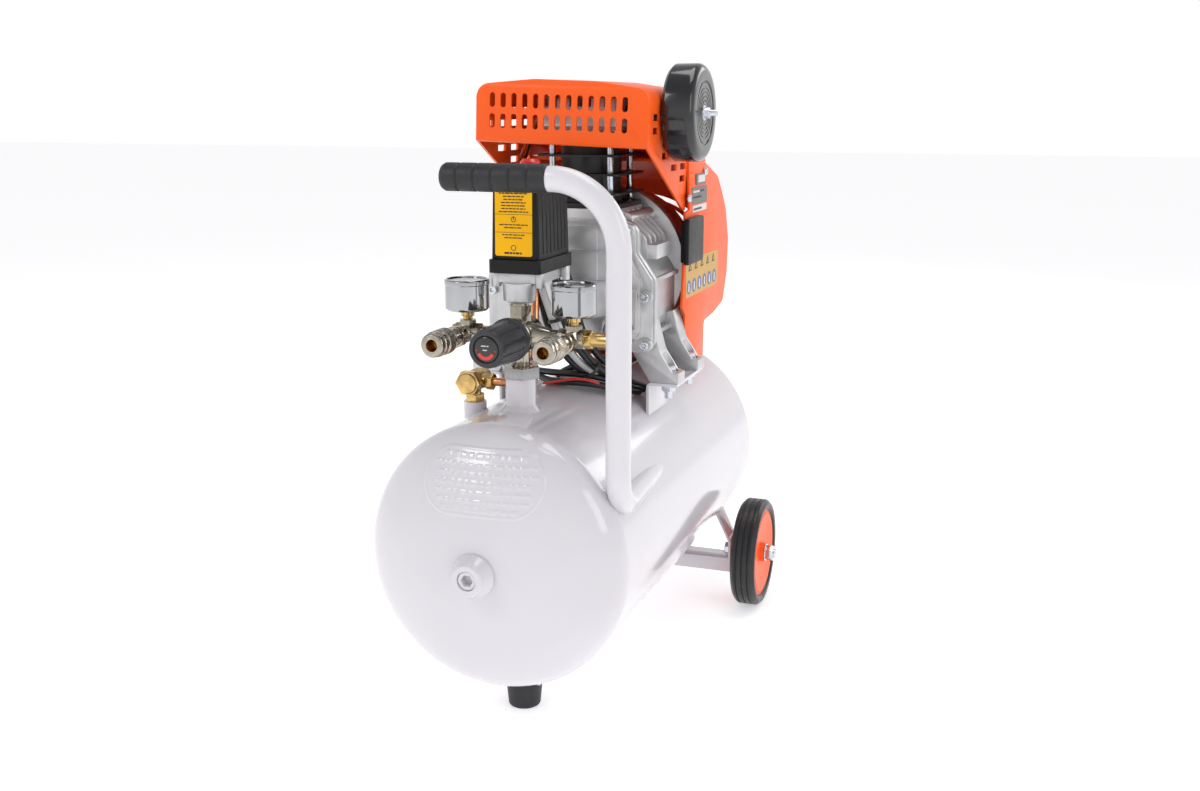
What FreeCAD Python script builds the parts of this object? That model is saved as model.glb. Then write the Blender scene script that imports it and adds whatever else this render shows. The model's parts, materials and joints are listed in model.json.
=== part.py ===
import FreeCAD, Part

import math
import os

V = FreeCAD.Vector
X, Y, Z = V(1, 0, 0), V(0, 1, 0), V(0, 0, 1)

# ---------------------------------------------------------------- driving dimensions (mm)
# The origin is on the floor, under the middle of the tank. -Y is the front (control end),
# +X is the right side, where the air filter is.

# air tank
tank_d = 250.0
tank_wall = 2.5
shell_l = 456.0
dome_depth = 56.0
tank_axis_z = 170.0
boss_l = 14.8              # how far an inspection boss stands out of its dome
boss_r = 14.5
boss_base_r = 20.0
plug_r = 9.0
plug_af = 10.0

# undercarriage
wheel_d = 123.0
tyre_w = 28.5
rim_d = 99.0
wheel_x = 148.5
wheel_y = 161.0
axle_d = 10.0
arm_w = 28.0
arm_h = 16.0
arm_sink = 8.5             # the axle arm's top, above the tank's lowest line
plate_t = 2.5
foot_y = -174.0
foot_d = 36.0
foot_h = 30.0

# carrying handle
handle_d = 22.0
handle_x = 116.0
handle_y = -234.0
handle_z = 510.0
handle_bend = 60.0
handle_foot_bend = 36.0
handle_run_up = 56.0       # the handle's lower run, above the tank's axis
handle_end_y = -65.0       # the lower run slopes into the tank's side and ends inside its outline
handle_sink = 13.0
grip_d = 24.5
grip_left = -43.5
grip_right = 54.0

# manifold and controls
riser_x = 0.0
riser_y = -173.0
riser_d = 28.5
riser_h = 30.0
riser_af = 32.0
manifold_up = 39.0         # above the riser
outlet_x = 52.5
gauge_d = 41.0
gauge_h = 29.0
gauge_up = 21.0            # above the manifold
gauge_stem = 9.0
coupler_face_y = -248.0
coupler_bore_r = 5.5
knob_face_y = -249.0
knob_back_y = -196.0
knob_r = 17.5
knob_flange_r = 20.0
switch_w = 50.5
switch_l = 83.0
switch_front_y = -186.0
switch_up = 58.0           # above the manifold
switch_base_h = 12.0
switch_cover_h = 71.0
switch_wall = 2.5
switch_knob_r = 9.3
safety_len = 34.0

# pump and motor
pump_foot_x = 112.0
pump_gap = 3.0             # from the tank's top to the pump's feet
foot_t = 10.0
lug_w = 24.0
lug_front_y = -38.0
lug_pitch = 74.0
bolt_x = 98.5
bolt_d = 8.0
rail_t = 3.0
rail_web_x = 79.0
shaft_up = 102.0           # above the pump's feet
flange_y = -43.0
flange_t = 8.0
cover_t = 9.0
bell_r = 87.0
motor_r = 80.0
motor_rear_y = 128.0
cyl_y = 19.0
deck_up = 68.0             # the cylinder's foot, above the shaft
bore_r = 21.0
barrel_r = 31.0
fin_w = 87.2
fin_t = 2.2
fin_pitch = 18.7
fin_up = 13.8              # the lowest fin, above the deck
barrel_h = 76.0
stud_pitch = 62.0
stud_d = 6.6
valve_plate_t = 5.0
head_h = 27.0
crank_r = 19.0
rod_l = 85.0
shaft_r = 10.0
stroke_gap = 2.0
fan_r = 56.0

# plastics and filter
hood_w = 177.0
hood_front_y = -68.0
hood_bottom_up = 65.0      # above the deck
hood_top_up = 124.5
hood_wall = 2.5
hood_roll = 2.0            # degrees; the hood sits a little low on the right
shroud_w = 181.0
shroud_wall = 2.5
shroud_up = 114.0          # the shroud's top, above the shaft
filter_y = 9.0
filter_up = 94.0           # above the deck
filter_r = 47.5
filter_in_x = 90.5
filter_t = 32.0

tank_r = tank_d / 2
tank_top = tank_axis_z + tank_r
arm_top_z = tank_axis_z - tank_r + arm_sink
handle_run_z = tank_axis_z + handle_run_up
riser_top = tank_top + riser_h
manifold_z = riser_top + manifold_up
gauge_base_z = manifold_z + gauge_up
switch_base_z = manifold_z + switch_up
pump_foot_z = tank_top + pump_gap
shaft_z = pump_foot_z + shaft_up
deck_z = shaft_z + deck_up
fin_z = deck_z + fin_up
hood_bottom_z = deck_z + hood_bottom_up
hood_top_z = deck_z + hood_top_up
filter_z = deck_z + filter_up
shroud_top = shaft_z + shroud_up
bell_y = cyl_y + fin_w / 2 + 1.4
shell_half = shell_l / 2
dome_tip = shell_half + dome_depth
wheel_r = wheel_d / 2
running = 0.05             # radial clearance of a turning or sliding fit
gap = 0.3                  # space left between pieces of different bodies


# ---------------------------------------------------------------- helpers
def turned(shape, at, direction):
    """Puts a shape drawn along +Z from the origin at a point, along a direction."""
    shape.Placement = FreeCAD.Placement(V(*at), FreeCAD.Rotation(Z, V(*direction)))
    return shape


def rod(at, direction, r, length):
    return Part.makeCylinder(r, length, V(*at), V(*direction))


def pipe(at, direction, r_out, r_in, length):
    return rod(at, direction, r_out, length).cut(rod(at, direction, r_in, length))


def block(x0, x1, y0, y1, z0, z1):
    return Part.makeBox(x1 - x0, y1 - y0, z1 - z0, V(x0, y0, z0))


def hexagon(at, direction, across_flats, length):
    r = across_flats / math.sqrt(3)
    ring = [V(r * math.cos(k * math.pi / 3), r * math.sin(k * math.pi / 3), 0) for k in range(7)]
    return turned(Part.Face(Part.makePolygon(ring)).extrude(V(0, 0, length)), at, direction)


def turning(at, direction, profile):
    """A solid of revolution; profile is a closed list of (radius, distance along direction)."""
    points = [V(r, 0, t) for r, t in profile]
    face = Part.Face(Part.makePolygon(points + points[:1]))
    return turned(face.revolve(V(0, 0, 0), Z, 360), at, direction)


def fuse(shapes):
    shapes = list(shapes)
    whole = shapes[0].fuse(shapes[1:]) if len(shapes) > 1 else shapes[0]
    return whole.removeSplitter()


def group(shapes):
    return Part.makeCompound(list(shapes))


def mirrored(shape):
    return shape.mirror(V(0, 0, 0), X)


def outline(corners):
    """A closed flat wire through (u, v, radius) corners, drawn in XY, with rounded corners."""
    edges, ends = [], []
    n = len(corners)
    for i, (u, v, r) in enumerate(corners):
        here = V(u, v, 0)
        before = (V(*corners[i - 1][:2], 0) - here).normalize()
        after = (V(*corners[(i + 1) % n][:2], 0) - here).normalize()
        if r <= 0:
            ends.append((here, here))
            continue
        half = before.getAngle(after) / 2
        reach = r / math.tan(half)
        mid_way = (before + after).normalize() * (r / math.sin(half) - r)
        start, end = here + before * reach, here + after * reach
        ends.append((start, end))
        edges.append((i, Part.Arc(start, here + mid_way, end).toShape()))
    arcs = dict(edges)
    path = []
    for i in range(n):
        if i in arcs:
            path.append(arcs[i])
        start, end = ends[i][1], ends[(i + 1) % n][0]
        if start.distanceToPoint(end) > 1e-6:
            path.append(Part.LineSegment(start, end).toShape())
    return Part.Wire(path)


def along_y(corners, y0, y1):
    """Extrudes an outline of (x, z, radius) corners from y0 to y1."""
    face = Part.Face(outline(corners))
    face.rotate(V(0, 0, 0), X, 90)
    face.translate(V(0, y0, 0))
    return face.extrude(V(0, y1 - y0, 0))


def along_x(corners, x0, x1):
    """Extrudes an outline of (y, z, radius) corners from x0 to x1."""
    face = Part.Face(outline(corners))
    face.rotate(V(0, 0, 0), V(1, 1, 1), 120)
    face.translate(V(x0, 0, 0))
    return face.extrude(V(x1 - x0, 0, 0))


def along_z(corners, z0, z1):
    """Extrudes an outline of (x, y, radius) corners from z0 to z1."""
    face = Part.Face(outline(corners))
    face.translate(V(0, 0, z0))
    return face.extrude(V(0, 0, z1 - z0))


def rectangle(u, v, half_u, half_v, r):
    return [(u - half_u, v - half_v, r), (u + half_u, v - half_v, r),
            (u + half_u, v + half_v, r), (u - half_u, v + half_v, r)]


def bent(points, r, radii=None):
    """A round bar along straight runs joined by tangent arcs."""
    points = [V(*p) for p in points]
    edges, last = [], points[0]
    for i in range(1, len(points) - 1):
        back = points[i - 1] - points[i]
        ahead = points[i + 1] - points[i]
        half = back.getAngle(ahead) / 2
        shorter = min(back.Length, ahead.Length)
        bend = radii[i - 1] if radii else 0.45 * shorter * math.tan(half)
        back.normalize()
        ahead.normalize()
        reach = bend / math.tan(half)
        start, end = points[i] + back * reach, points[i] + ahead * reach
        middle = points[i] + (back + ahead).normalize() * (bend / math.sin(half) - bend)
        if last.distanceToPoint(start) > 1e-6:
            edges.append(Part.LineSegment(last, start).toShape())
        edges.append(Part.Arc(start, middle, end).toShape())
        last = end
    edges.append(Part.LineSegment(last, points[-1]).toShape())
    path = Part.Wire(edges)
    section = Part.Wire(Part.makeCircle(r, points[0], points[1] - points[0]))
    bar = path.makePipeShell([section], True, False)
    print("bar of radius", r, "volume / (area x length) =",
          round(bar.Volume / (math.pi * r * r * path.Length), 4))
    return bar


def dome_solid(radius, depth, y_end, side):
    """Half an ellipsoid of revolution about the tank's axis; side is -1 at the front."""
    curve = Part.Ellipse(V(0, 0, 0), radius, depth).toShape(0, math.pi / 2)
    close = [Part.LineSegment(V(0, depth, 0), V(0, 0, 0)).toShape(),
             Part.LineSegment(V(0, 0, 0), V(radius, 0, 0)).toShape()]
    solid = Part.Face(Part.Wire([curve] + close)).revolve(V(0, 0, 0), Y, 360)
    if side < 0:
        solid.rotate(V(0, 0, 0), X, 180)
    solid.translate(V(0, y_end, tank_axis_z))
    return solid


def tank_surface_z(x):
    return tank_axis_z + math.sqrt(tank_r ** 2 - x ** 2)


def tank_outside():
    return rod((0, -shell_half, tank_axis_z), (0, 1, 0), tank_r, shell_l)


# ---------------------------------------------------------------- tank
drain_y = 0.0
drain_r = 9.0
valve_x, valve_y = -60.0, -145.0
valve_boss_r = 11.0
valve_boss_top = tank_top - 3


def tank_shell():
    shell = pipe((0, -shell_half, tank_axis_z), (0, 1, 0), tank_r, tank_r - tank_wall, shell_l)
    holes = [rod((riser_x, riser_y, tank_axis_z), (0, 0, 1), riser_d / 2 - 3, tank_r + 5),
             rod((valve_x, valve_y, tank_axis_z), (0, 0, 1), 6, tank_r + 5),
             rod((0, drain_y, tank_axis_z), (0, 0, -1), 5, tank_r + 5)]
    return group([shell.cut(holes), riser_pipe(), valve_stub()])


def valve_stub():
    """The stub welded into the tank's top that carries the check valve."""
    stub = rod((valve_x, valve_y, tank_axis_z), (0, 0, 1), valve_boss_r, valve_boss_top - tank_axis_z)
    return stub.cut([tank_outside(), rod((valve_x, valve_y, tank_axis_z), (0, 0, 1), 6, 200)])


def tank_dome(side):
    end = side * shell_half
    dome = dome_solid(tank_r, dome_depth, end, side)
    dome = dome.cut(dome_solid(tank_r - tank_wall, dome_depth - tank_wall, end, side))
    start = side * (dome_tip - tank_wall - 2)
    stand = boss_l + tank_wall + 2
    boss = turning((0, start, tank_axis_z), (0, side, 0),
                   [(0, 0), (boss_base_r, 0), (boss_base_r, stand - boss_l + 2.5),
                    (boss_r + 1.5, stand - 5), (boss_r, stand - 1.2), (boss_r - 1.2, stand), (0, stand)])
    bored = dome.fuse(boss).cut(rod((0, start - side * 5, tank_axis_z), (0, side, 0), plug_r, 40))
    return bored.removeSplitter()


def inspection_plugs():
    plugs = []
    for side in (-1, 1):
        face_y = side * (dome_tip + boss_l - 1.2)
        plug = turning((0, face_y, tank_axis_z), (0, -side, 0),
                       [(0, 0), (plug_r - 1, 0), (plug_r, 1), (plug_r, 16), (0, 16)])
        socket = hexagon((0, face_y + side, tank_axis_z), (0, -side, 0), plug_af, 9)
        plugs.append(plug.cut(socket))
    return group(plugs)


def drain_valve():
    top = tank_axis_z - tank_r
    body = fuse([turning((0, drain_y, top + 3), (0, 0, -1),
                         [(0, 0), (drain_r + 3, 0), (drain_r + 3, 5), (drain_r, 9), (0, 9)]),
                 hexagon((0, drain_y, top - 6), (0, 0, -1), 15, 8)])
    body = body.cut(tank_outside()).fuse(rod((0, drain_y, top - 3), (0, 0, 1), 5, 7))
    return body.cut(rod((0, drain_y, top + 5), (0, 0, -1), 3 + running, 30)).removeSplitter()


def drain_screw():
    top = tank_axis_z - tank_r
    stem = rod((0, drain_y, top - 2), (0, 0, -1), 3, 16)
    wing = along_x([(drain_y - 9, top - 24, 3), (drain_y + 9, top - 24, 3),
                    (drain_y + 9, top - 17, 2), (drain_y + 4, top - 15, 0),
                    (drain_y - 4, top - 15, 0), (drain_y - 9, top - 17, 2)], -1.5, 1.5)
    hub = rod((0, drain_y, top - 14 - gap), (0, 0, -1), 4.5, 8)
    return fuse([stem, hub, wing])


# ---------------------------------------------------------------- undercarriage
axle_z = wheel_r
axle_plate_x = wheel_x - tyre_w / 2 - 10.0
hub_half = tyre_w / 2 + 1.5
axle_tip_x = wheel_x + tyre_w / 2 + 12.0


def wheel_brackets():
    inner_x = 20.0
    arm = block(inner_x, axle_plate_x, wheel_y - arm_w / 2, wheel_y + arm_w / 2,
                arm_top_z - arm_h, arm_top_z)
    arm = arm.cut(block(inner_x, axle_plate_x - plate_t, wheel_y - arm_w / 2 + plate_t,
                        wheel_y + arm_w / 2 - plate_t, arm_top_z - arm_h, arm_top_z - plate_t))
    plate = along_x([(wheel_y - arm_w / 2, arm_top_z - arm_h, 0),
                     (wheel_y + arm_w / 2, arm_top_z - arm_h, 0),
                     (wheel_y + arm_w / 2, axle_z + 18, 6), (wheel_y - arm_w / 2, axle_z + 18, 6)],
                    axle_plate_x - plate_t, axle_plate_x)
    weld_z = tank_axis_z - tank_r * 0.42
    weld_x = math.sqrt(tank_r ** 2 - (weld_z - tank_axis_z) ** 2)
    low, high = (axle_plate_x - plate_t, axle_z + 12), (weld_x - 13, weld_z)
    dx, dz = high[0] - low[0], high[1] - low[1]
    length = math.hypot(dx, dz)
    nx, nz = dz / length * plate_t, -dx / length * plate_t
    strut = along_y([(low[0], low[1], 0), (low[0] + nx, low[1] + nz, 0),
                     (high[0] + nx, high[1] + nz, 0), (high[0], high[1], 0)],
                    wheel_y - arm_w / 2, wheel_y + arm_w / 2)
    axle_hole = rod((axle_plate_x - 9, wheel_y, axle_z), (1, 0, 0), axle_d / 2, 18)
    side = fuse([arm, plate, strut]).cut([tank_outside(), axle_hole])
    side = max(side.Solids, key=lambda s: s.Volume)
    return group([side, mirrored(side)])


def axle_hardware():
    pieces = []
    bolt = fuse([hexagon((axle_plate_x - plate_t - 6.5, wheel_y, axle_z), (1, 0, 0), 13, 6.5),
                 rod((axle_plate_x - plate_t, wheel_y, axle_z), (1, 0, 0), axle_d / 2,
                     axle_tip_x - axle_plate_x + plate_t)])
    tube = (1, 0, 0)
    spacer = pipe((axle_plate_x, wheel_y, axle_z), tube, 9, axle_d / 2,
                  wheel_x - hub_half - axle_plate_x - gap)
    outer = wheel_x + hub_half - 2 + gap
    washer = pipe((outer, wheel_y, axle_z), tube, 10, axle_d / 2, 1.6)
    nut = hexagon((outer + 1.6, wheel_y, axle_z), tube, 16, axle_tip_x - 2 - outer - 1.6)
    nut = nut.cut(rod((outer, wheel_y, axle_z), tube, axle_d / 2, 30))
    for part in (bolt, spacer, washer, nut):
        pieces += [part, mirrored(part)]
    return group(pieces)


def tyre():
    half, edge = tyre_w / 2, 4.0
    seat, face = rim_d / 2, wheel_r
    profile = [(seat, -half + 3), (seat + 3, -half), (face - edge, -half), (face - 1, -half + edge - 1),
               (face, -half + edge + 1), (face, half - edge - 1), (face - 1, half - edge + 1),
               (face - edge, half), (seat + 3, half), (seat, half - 3)]
    ring = turning((wheel_x, wheel_y, axle_z), (1, 0, 0), profile)
    grooves = [pipe((wheel_x + offset - 0.6, wheel_y, axle_z), (1, 0, 0), face + 1, face - 1.2, 1.2)
               for offset in (-7, 0, 7)]
    return ring.cut(grooves)


def hub():
    seat, half, web = rim_d / 2, tyre_w / 2, 3.0
    rim = pipe((wheel_x - half + 3, wheel_y, axle_z), (1, 0, 0), seat, seat - 3.5, tyre_w - 6)
    disc = turning((wheel_x + half, wheel_y, axle_z), (-1, 0, 0),
                   [(0, 5), (15, 5), (21, 4), (30, 4), (seat - 8, 2), (seat - 4, 1.5), (seat - 2, 3.2),
                    (seat - 2, 3.2 + web), (seat - 8, 2 + web), (30, 4 + web), (0, 5 + web)])
    centre = rod((wheel_x - hub_half, wheel_y, axle_z), (1, 0, 0), 11, 2 * hub_half - 2)
    ribs = []
    for k in range(6):
        rib = block(wheel_x - half + 6, wheel_x + half - 6, wheel_y + 10, wheel_y + seat - 2,
                    axle_z - 1.5, axle_z + 1.5)
        rib.rotate(V(wheel_x, wheel_y, axle_z), X, 60 * k)
        ribs.append(rib)
    whole = fuse([rim, disc, centre] + ribs)
    return whole.cut(rod((wheel_x - 30, wheel_y, axle_z), (1, 0, 0), axle_d / 2 + running, 60))


foot_bracket_top = tank_axis_z - tank_r
foot_bolt_r = bolt_d / 2


def front_foot_bracket():
    top, low = foot_bracket_top + 8, foot_h
    half, wide = 24.0, 19.0
    seat = block(-half, half, foot_y - wide, foot_y + wide, low, low + plate_t)
    webs = [block(x, x + plate_t, foot_y - wide, foot_y + wide, low, top)
            for x in (-half, half - plate_t)]
    bracket = fuse([seat] + webs).cut(tank_outside())
    return bracket.cut(rod((0, foot_y, 0), (0, 0, 1), foot_bolt_r, foot_h + 10))


def front_foot():
    foot = turning((0, foot_y, 0), (0, 0, 1),
                   [(0, 0), (14, 0), (15.5, 1.5), (foot_d / 2, foot_h - 1.5),
                    (foot_d / 2 - 1.5, foot_h), (0, foot_h)])
    foot = foot.cut(rod((0, foot_y, -1), (0, 0, 1), 8, 13))
    return foot.cut(rod((0, foot_y, 0), (0, 0, 1), foot_bolt_r, foot_h + 1))


# ---------------------------------------------------------------- handle
def handle_path():
    end_x = math.sqrt((tank_r - handle_sink) ** 2 - (handle_run_z - 4 - tank_axis_z) ** 2)
    return [(grip_left + 6, handle_y, handle_z), (handle_x, handle_y, handle_z),
            (handle_x, handle_y, handle_run_z), (end_x, handle_end_y, handle_run_z - 4)]


def handle_tube():
    bends = [handle_bend, handle_foot_bend]
    tube = bent(handle_path(), handle_d / 2, bends).cut(bent(handle_path(), handle_d / 2 - 1.8, bends))
    tube = tube.cut([tank_outside(), dome_solid(tank_r, dome_depth, -shell_half, -1)])
    return max(tube.Solids, key=lambda s: s.Volume)


def handle_grip():
    r = grip_d / 2
    length = grip_right - grip_left
    grip = turning((grip_left, handle_y, handle_z), (1, 0, 0),
                   [(0, 0), (r - 3, 0), (r - 0.8, 1.2), (r, 3.5), (r, length - 1.5), (r - 1, length),
                    (0, length)])
    grooves = [pipe((grip_left + length * k / 6 - 0.7, handle_y, handle_z), (1, 0, 0), r + 1, r - 1, 1.4)
               for k in range(1, 6)]
    return grip.cut(grooves + [rod((grip_left + 6, handle_y, handle_z), (1, 0, 0), handle_d / 2, length)])


# ---------------------------------------------------------------- manifold
def riser_pipe():
    """The white stub welded into the tank's top that carries the manifold."""
    stem = rod((riser_x, riser_y, tank_axis_z), (0, 0, 1), riser_d / 2, riser_top - tank_axis_z)
    top = tank_surface_z(0)
    weld = turning((riser_x, riser_y, top - 12), (0, 0, 1),
                   [(0, 0), (riser_d / 2 + 5, 0), (riser_d / 2 + 4, 12), (riser_d / 2, 17), (0, 17)])
    stub = fuse([stem, weld])
    stub = stub.cut(rod((riser_x, riser_y, tank_axis_z), (0, 0, 1), riser_d / 2 - 3, 200))
    return stub.cut(tank_outside())


def riser_nut():
    nut = hexagon((riser_x, riser_y, riser_top), (0, 0, 1), riser_af, 10.5)
    return nut.cut(rod((riser_x, riser_y, riser_top - 1), (0, 0, 1), 8.5, 20))


def regulator_block():
    stem = rod((riser_x, riser_y, riser_top + 1), (0, 0, 1), 8.5, switch_mount_z - riser_top - 1)
    collar = hexagon((riser_x, riser_y, manifold_z + 14), (0, 0, 1), 19, 14)
    body = rod((riser_x, knob_back_y + 6, manifold_z), (0, 1, 0), 16.5, 34)
    bonnet = rod((riser_x, knob_back_y + gap, manifold_z), (0, 1, 0), 18.5, 7)
    arms = rod((-outlet_x + 9, riser_y, manifold_z), (1, 0, 0), 7, 2 * outlet_x - 18)
    shoulders = [turning((side * 12, riser_y, manifold_z), (side, 0, 0),
                         [(0, 0), (12.5, 0), (7, 20), (0, 20)]) for side in (-1, 1)]
    guide = rod((riser_x, knob_back_y + 7, manifold_z), (0, -1, 0), 5, 24)
    return fuse([stem, collar, body, bonnet, arms, guide] + shoulders)


def manifold_body():
    return group([regulator_block(), riser_nut()])


def regulator_knob():
    length = knob_back_y - knob_face_y
    knob = turning((riser_x, knob_back_y, manifold_z), (0, -1, 0),
                   [(0, 0), (knob_flange_r, 0), (knob_flange_r, 4.5), (knob_flange_r - 1, 6),
                    (knob_flange_r - 1.2, 7), (knob_r + 0.3, length - 5), (knob_r - 2, length - 1),
                    (knob_r - 4, length), (knob_r - 5.5, length), (knob_r - 6.2, length - 2),
                    (0, length - 2)])
    flutes = []
    for k in range(10):
        flute = rod((riser_x, knob_back_y - 8.5, manifold_z + knob_flange_r + 5.2),
                    (0, -1, -0.035), 6, length)
        flute.rotate(V(riser_x, 0, manifold_z), Y, 36 * k)
        flutes.append(flute)
    socket = rod((riser_x, knob_back_y + 1, manifold_z), (0, -1, 0), 5 + running, 19.5 + gap)
    return knob.cut(flutes + [socket])


def outlet_tee(side):
    x = side * outlet_x
    barrel = rod((x - side * 13, riser_y, manifold_z), (side, 0, 0), 9, 24)
    nose = hexagon((x, riser_y, manifold_z), (0, -1, 0), 15, 17)
    neck_h = gauge_base_z - manifold_z - gauge_stem
    neck = rod((x, riser_y, manifold_z), (0, 0, 1), 6.5, neck_h)
    nut = hexagon((x, riser_y, manifold_z + neck_h - 5), (0, 0, 1), 14.5, 5)
    tee = fuse([barrel, nose, neck, nut])
    if side > 0:
        return tee
    plug = hexagon((x - 11, riser_y, manifold_z), (-1, 0, 0), 12, 4)
    return tee.fuse(plug).removeSplitter()


def outlet_tees():
    block_arms = regulator_block()
    return group(outlet_tee(side).cut(block_arms) for side in (-1, 1))


# pressure gauges: the dials face up
dial_z = gauge_base_z + gauge_h - 6.0
lens_z = gauge_base_z + gauge_h - 2.4
dial_r = gauge_d / 2 - 2.2


def gauge_cases():
    cases = []
    for side in (-1, 1):
        at = (side * outlet_x, riser_y, gauge_base_z)
        r = gauge_d / 2
        case = turning(at, (0, 0, 1), [(0, 0), (r - 1.5, 0), (r, 1.5), (r, gauge_h - 4),
                                       (r + 0.4, gauge_h - 3.6),
                                       (r + 0.4, gauge_h - 0.8), (r - 0.4, gauge_h), (0, gauge_h)])
        case = case.cut([rod((at[0], at[1], dial_z), (0, 0, 1), dial_r, 5.0),
                         rod((at[0], at[1], dial_z), (0, 0, 1), dial_r - 1.0, 10.0)])
        stem = hexagon((at[0], at[1], gauge_base_z - gauge_stem), (0, 0, 1), 10, gauge_stem)
        cases.append(case.fuse(stem).removeSplitter())
    return group(cases)


def gauge_dials():
    dials = []
    for side in (-1, 1):
        at = (side * outlet_x, riser_y, dial_z)
        dials.append(fuse([rod(at, (0, 0, 1), dial_r, 0.8), rod(at, (0, 0, 1), 0.8, 2.6)]))
    return group(dials)


def gauge_lenses():
    return group(rod((side * outlet_x, riser_y, lens_z), (0, 0, 1), dial_r, 1.4) for side in (-1, 1))


def gauge_needle(side):
    x, low = side * outlet_x, dial_z + 1.2
    hub_disc = rod((x, riser_y, low), (0, 0, 1), 2.2, 0.9)
    blade = along_z([(x - 1.2, riser_y - 6, 0), (x + 1.2, riser_y - 6, 0), (x + 1.0, riser_y, 0),
                     (x + 0.35, riser_y + dial_r - 4, 0), (x - 0.35, riser_y + dial_r - 4, 0),
                     (x - 1.0, riser_y, 0)], low, low + 0.6)
    needle = fuse([hub_disc, blade]).cut(rod((x, riser_y, low - 1), (0, 0, 1), 0.8 + running, 4))
    needle.rotate(V(x, riser_y, 0), Z, 135)
    return needle


# quick couplers: a plain body, a sliding knurled sleeve
coupler_back_y = riser_y - 17
sleeve_front_y = coupler_face_y + 6.5
sleeve_l = 24.0
coupler_r = 8.2


def coupler_bodies():
    bodies = []
    for side in (-1, 1):
        x = side * outlet_x
        length = coupler_back_y - coupler_face_y
        tail = hexagon((x, coupler_back_y, manifold_z), (0, -1, 0), 17, 9)
        core = rod((x, coupler_back_y, manifold_z), (0, -1, 0), coupler_r, length)
        collar = rod((x, coupler_back_y - 9, manifold_z), (0, -1, 0), 10, 5)
        nose = turning((x, coupler_face_y + 6, manifold_z), (0, -1, 0),
                       [(0, 0), (10.8, 0), (10.8, 4.8), (9.6, 6), (0, 6)])
        body = fuse([tail, core, collar, nose])
        bodies.append(body.cut(rod((x, coupler_face_y - 1, manifold_z), (0, 1, 0), coupler_bore_r, 25)))
    return group(bodies)


def coupler_sleeve(side):
    x = side * outlet_x
    profile = [(coupler_r + running, 0), (11.4, 0), (12, 0.8), (12, 5), (10.9, 6), (10.9, 8), (12, 9),
               (12, sleeve_l - 3), (11, sleeve_l), (coupler_r + running, sleeve_l)]
    return turning((x, sleeve_front_y, manifold_z), (0, 1, 0), profile)


safety_x = outlet_x + 11.0


def safety_valve():
    parts = [hexagon((safety_x, riser_y, manifold_z), (1, 0, 0), 15, 7),
             rod((safety_x + 7, riser_y, manifold_z), (1, 0, 0), 6.5, safety_len - 15),
             rod((safety_x + safety_len - 9, riser_y, manifold_z), (1, 0, 0), 7.2, 5)]
    body = fuse(parts)
    return body.cut(rod((safety_x + 12, riser_y, manifold_z), (1, 0, 0), 2 + running, 40))


def safety_ring():
    tip = safety_x + safety_len - 4
    stem = rod((safety_x + 14, riser_y, manifold_z), (1, 0, 0), 2, tip + gap + 1.5 - safety_x - 14)
    ring = Part.makeTorus(6, 1.1, V(tip + gap + 7, riser_y, manifold_z), Y)
    return fuse([stem, ring])


# ---------------------------------------------------------------- pressure switch
switch_mount_z = manifold_z + 31
switch_back_y = switch_front_y + switch_l
switch_mid_y = (switch_front_y + switch_back_y) / 2
cover_z = switch_base_z + switch_base_h
cover_top = cover_z + switch_cover_h


def switch_mount():
    half = switch_w / 2 - 4
    neck = turning((riser_x, riser_y, switch_mount_z), (0, 0, 1),
                   [(0, 0), (13, 0), (15, 2), (15.5, 18), (0, 18)])
    deck = along_z(rectangle(0, switch_mid_y, half - 3, switch_l / 2 - 8, 8),
                   switch_base_z - 11, switch_base_z)
    lugs = [rod((sx * half, switch_mid_y + sy * (switch_l / 2 - 10), switch_base_z - 13), (0, 0, 1), 4.5, 13)
            for sx in (-1, 1) for sy in (-1, 1)]
    webs = [block(-half + 2, half - 2, switch_mid_y + sy * (switch_l / 2 - 10) - 3,
                  switch_mid_y + sy * (switch_l / 2 - 10) + 3, switch_base_z - 9, switch_base_z)
            for sy in (-1, 1)]
    return fuse([neck, deck] + lugs + webs).cut(regulator_block())


def switch_base():
    half = switch_w / 2
    tray = along_z(rectangle(0, switch_mid_y, half, switch_l / 2, 4), switch_base_z, cover_z)
    well = along_z(rectangle(0, switch_mid_y, half - 5, switch_l / 2 - 5, 3), switch_base_z + 4, cover_z)
    plunger_guide = pipe((0, switch_mid_y, switch_base_z + 4), (0, 0, 1), 7, 3 + running, 40)
    contacts = [block(sx * 13 - 4, sx * 13 + 4, switch_mid_y - 26, switch_mid_y + 26,
                      switch_base_z + 4, switch_base_z + 30) for sx in (-1, 1)]
    gland = rod((0, switch_back_y, switch_base_z + 6), (0, 1, 0), 5.5, 9)
    return fuse([tray.cut(well), plunger_guide, gland] + contacts)


def switch_cover():
    half, length = switch_w / 2 - 2, switch_l / 2 - 3
    draft = 1.5

    def shell(inset, z0, z1):
        low = outline(rectangle(0, switch_mid_y, half - inset, length - inset, 3))
        high = outline(rectangle(0, switch_mid_y, half - inset - draft, length - inset - draft, 3))
        low.translate(V(0, 0, z0))
        high.translate(V(0, 0, z1))
        return Part.makeLoft([low, high], True, True)

    cover = shell(0, cover_z, cover_top).cut(shell(switch_wall, cover_z, cover_top - switch_wall))
    grooves = [block(sx * half - 1.2, sx * half + 1.2, switch_mid_y + 9 * k - 0.8, switch_mid_y + 9 * k + 0.8,
                     cover_z + 5, cover_top + 1) for sx in (-1, 1) for k in range(-3, 4)]
    hole = rod((0, switch_mid_y, cover_top - 10), (0, 0, 1), 3 + running + 0.4, 20)
    return cover.cut(grooves + [hole])


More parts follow.
